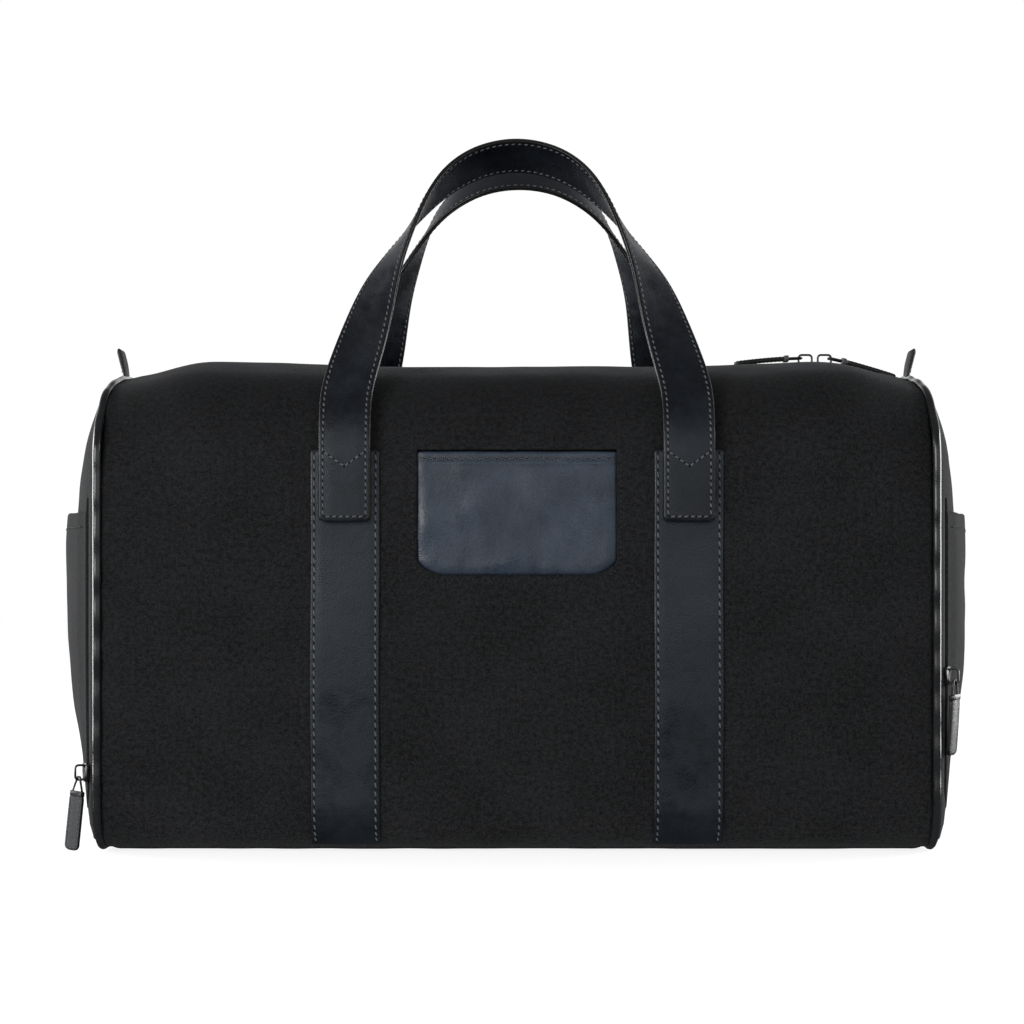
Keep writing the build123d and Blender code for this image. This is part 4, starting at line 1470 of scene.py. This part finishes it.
def pull_tongue(name, posed, body, node, half, rim):
    """The two-layer leather tongue, rounded at its ends."""
    start, end, radius = TONGUE_START, TONGUE_END, 3.6
    stations = lines((start, 0.6), (start + 3, 2), (end - 4, 0.45), (end, 0.45))
    near = np.minimum(stations - start, end - stations)
    tight = np.sqrt(np.maximum(radius**2 - np.maximum(radius - near, 0) ** 2, 0.02))
    outline = np.array(TONGUE_OUTLINE)
    upper = np.vstack([outline, outline[:-1][::-1] * [-1, 1]])
    upper[[0, -1]] *= [0.955, 1]
    whole = np.vstack([upper, upper[1:-1][::-1] * [1, -1]])
    profile = np.repeat(whole[None], len(stations), axis=0)
    profile[..., 0] *= (half - radius + tight)[:, None]
    profile[..., 1] *= rim * (0.7 + 0.3 * smooth(0, 1.6, near))[:, None]
    line = np.column_stack([stations, np.zeros_like(stations), np.zeros_like(stations)])
    across = np.tile([0.0, 1.0, 0.0], (len(stations), 1))
    up = np.tile([0.0, 0.0, 1.0], (len(stations), 1))
    points, faces, uv = tube_mesh(line, across, up, profile)
    reach = np.abs(whole[:, 0])
    painted = (np.minimum(reach, np.roll(reach, -1)) > 0.94).astype(int).tolist()
    groups = [painted[index % len(whole)] for index in range(len(faces) - 2)] + [1, 1]
    obj = make(f"{name}_tongue", posed(points), faces, uv, groups=groups)
    recalculate(obj)
    dress(obj, "pull_leather", PULL, EDGE_PAINT)
    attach(obj, body)
    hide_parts(node)


def pull_stitching(name, posed, body, half, rim):
    """A row round the tongue on both faces."""
    inset, count = 1.45, 60
    middle = (TONGUE_START + TONGUE_END) / 2
    track = rounded_loop((TONGUE_END - TONGUE_START) / 2 - inset, half - inset, 2.4) + [middle, 0]
    track = resample(np.vstack([track, track[:1]]), count)
    rows = []
    for face in (-1, 1):
        flat = np.column_stack([track, np.full(count, face * rim * 0.98)])
        rows.append((posed(flat), posed(flat + [0, 0, face]) - posed(flat)))
    stitches = sew(f"{name}_stitching", rows, 2.7, 0.22, "pull_leather", THREAD)
    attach(stitches, body)


def pull(name, plane, body, nodes, hang, twist=0.0, thick=2.9):
    """A zip pull. nodes are its CAD link and leather.

    hang is how far the tongue's end drops, and how late along its length it starts to. twist turns the
    tongue about its own length, in degrees.
    """
    width, rim = 10.0, thick / 2
    posed = hung(plane, hang, twist)
    pull_link(name, posed, body, nodes[0], width)
    pull_tongue(name, posed, body, nodes[1], width / 2, rim)
    pull_stitching(name, posed, body, width / 2, rim)


def turned(plane, lean):
    """The frame of a pull on a slider: on the bridge, leaning away from the surface."""
    origin, along, across, out = plane
    origin = origin + along * 2.8 + out * 5.4
    cosine, sine = math.cos(math.radians(lean)), math.sin(math.radians(lean))
    return origin, along * cosine + out * sine, across, out * cosine - along * sine


def zip_fittings():
    """Both top sliders, head to head, and one slider on each end zip, all with their pulls."""
    for side, (x, way) in TOP_SLIDERS.items():
        origin = np.array([x, 0.0, TOP_Z])
        plane = (origin, np.array([way, 0.0, 0]), np.array([0, float(way), 0]), np.array([0, 0, 1.0]))
        slider(f"top_{side}_slider_body", plane, f"top_slider_{side}", f"top_slider_{side}")
        nodes = (f"top_pull_link_{side}", f"top_pull_leather_{side}")
        hang = (3.6, 1.6) if way < 0 else (12.5, 1.15)
        pull(f"top_{side}_pull", turned(plane, 0), f"top_pull_{side}", nodes, hang, thick=2.5)
    angle = math.asin(ZIP_Y / DOME_PLAN_R)
    for side, z in END_SLIDERS.items():
        sign = -1.0 if side == "left" else 1.0
        reach = 39.0 + DOME_PLAN_R * math.cos(angle)
        origin = np.array([sign * reach, -ZIP_Y, z])
        out = np.array([sign * math.cos(angle), -math.sin(angle), 0])
        along = np.array([0, 0, -1.0])
        plane = (origin, along, np.cross(out, along), out)
        skew = math.degrees(angle) * sign
        slider(f"{side}_end_slider_body", plane, f"{side}_slider", f"{side}_slider", skew)
        nodes = (f"{side}_pull_link", f"{side}_pull_leather")
        hang, twist = ((4.0, 1.0), -38.0) if side == "left" else ((11.0, 1.15), 10.0)
        pull(f"{side}_end_pull", turned(plane, PULL_LEAN), f"{side}_pull", nodes, hang, twist)


# ---------------------------------------------------------------- carried-over CAD nodes


def keep_nodes():
    """Gives every CAD node that stays its own finish."""
    finishes = {
        "main_lining": LINING, "inner_pocket": LINING, "front_pocket_bag": LINING,
        "left_shoe_lining": LINING, "right_shoe_lining": LINING, "base_board": BOARD,
    }
    for name, material in finishes.items():
        obj = frame["nodes"][name]
        obj.data.materials.clear()
        obj.data.materials.append(material)


# ---------------------------------------------------------------- studio


FLOOR_HALF = 90000.0
UNDER = 0.05  # brightness of the surround below the floor line
FLOOR_LINE = -0.012  # upward part of the direction in which the surround turns dark
SOFT_BOXES = [
    ("left", (-2.2, 0.45, 0.5), 1.2, 55),
    ("right", (2.2, 0.45, 0.5), 1.2, 55),
    ("front", (-1.5, -1.9, 0.75), 1.0, 24),
]


def studio_floor():
    """A pale floor that reflections don't show."""
    corners = [(x * FLOOR_HALF, y * FLOOR_HALF, 0) for x, y in ((-1, -1), (1, -1), (1, 1), (-1, 1))]
    floor = make("floor", corners, [[0, 1, 2, 3]])
    floor.location.z = -0.0002
    floor.visible_glossy = False
    nodes = Nodes("studio_floor")
    place = nodes.place("object")
    tone = nodes.ramp(nodes.noise(place, 900, 2.0), (0.3, 0.3), (0.7, 0.32))
    rough = nodes.ramp(nodes.noise(place, 40, 3.0), (0.3, 0.6), (0.7, 0.7))
    nodes.done(tone, rough, nodes.bump(nodes.noise(place, 6, 2.0), 0.05, 0.2), Specular_IOR_Level=0.2)
    nodes.shader.inputs["Emission Color"].default_value = (1, 1, 1, 1)
    nodes.shader.inputs["Emission Strength"].default_value = 0.85
    floor.data.materials.append(nodes.material)


def surround():
    """An even surround: white low down, dim overhead, and dark below the floor line."""
    world = bpy.data.worlds.new("studio")
    bpy.context.scene.world = world
    world.use_nodes = True
    sky = world.node_tree
    place = sky.nodes.new("ShaderNodeSeparateXYZ")
    ramp = sky.nodes.new("ShaderNodeValToRGB")
    above = sky.nodes.new("ShaderNodeMath")
    whole = sky.nodes.new("ShaderNodeMix")
    background = sky.nodes["Background"]
    sky.links.new(sky.nodes.new("ShaderNodeTexCoord").outputs["Generated"], place.inputs[0])
    sky.links.new(place.outputs["Z"], ramp.inputs[0])
    sky.links.new(place.outputs["Z"], above.inputs[0])
    sky.links.new(above.outputs[0], whole.inputs[0])
    sky.links.new(ramp.outputs[0], whole.inputs[7])
    sky.links.new(whole.outputs[2], background.inputs["Color"])
    above.operation = "GREATER_THAN"
    above.inputs[1].default_value = FLOOR_LINE
    whole.data_type = "RGBA"
    whole.inputs[6].default_value = (UNDER, UNDER, UNDER, 1)
    background.inputs["Strength"].default_value = 1.02
    low, high = ramp.color_ramp.elements
    low.position, low.color = 0.29, (1, 1, 1, 1)
    high.position, high.color = 0.55, (0.13, 0.13, 0.135, 1)


def lamps():
    """Soft boxes that all face the bag's middle."""
    for name, place, size, energy in SOFT_BOXES:
        light = bpy.data.lights.new(name, "AREA")
        light.energy, light.size = energy, size
        lamp = bpy.data.objects.new(name, light)
        bpy.context.scene.collection.objects.link(lamp)
        lamp.location = place
        lamp.rotation_euler = (Vector((0, 0, 0.18)) - Vector(place)).to_track_quat("-Z", "Y").to_euler()


def camera():
    """A long lens, square to the front."""
    lens = bpy.data.cameras.new("camera")
    lens.lens, lens.sensor_width, lens.shift_y = 77.7, 36.0, 0.0693
    holder = bpy.data.objects.new("camera", lens)
    bpy.context.scene.collection.objects.link(holder)
    holder.location = (-0.003, -1.5, 0.169)
    holder.rotation_euler = (math.pi / 2, 0, 0)
    bpy.context.scene.camera = holder
    bpy.context.scene.view_settings.view_transform = "Standard"


# ---------------------------------------------------------------- assembly

studio_floor()
surround()
lamps()
camera()
for face in (-1, 1):
    sleeve_canvas(face)
    top_zip(face)
    for sign in (-1, 1):
        band(face, sign)
for side, sign in (("left", -1), ("right", 1)):
    end_canvas(side, sign)
    slip_pocket(side, sign)
    piping(side, sign)
    end_zip(side, sign)
    end_tab(side, sign)
handle("front", -1)
handle("rear", 1)
pocket_panel()
window_stitching()
base_canvas()
zip_fittings()
keep_nodes()
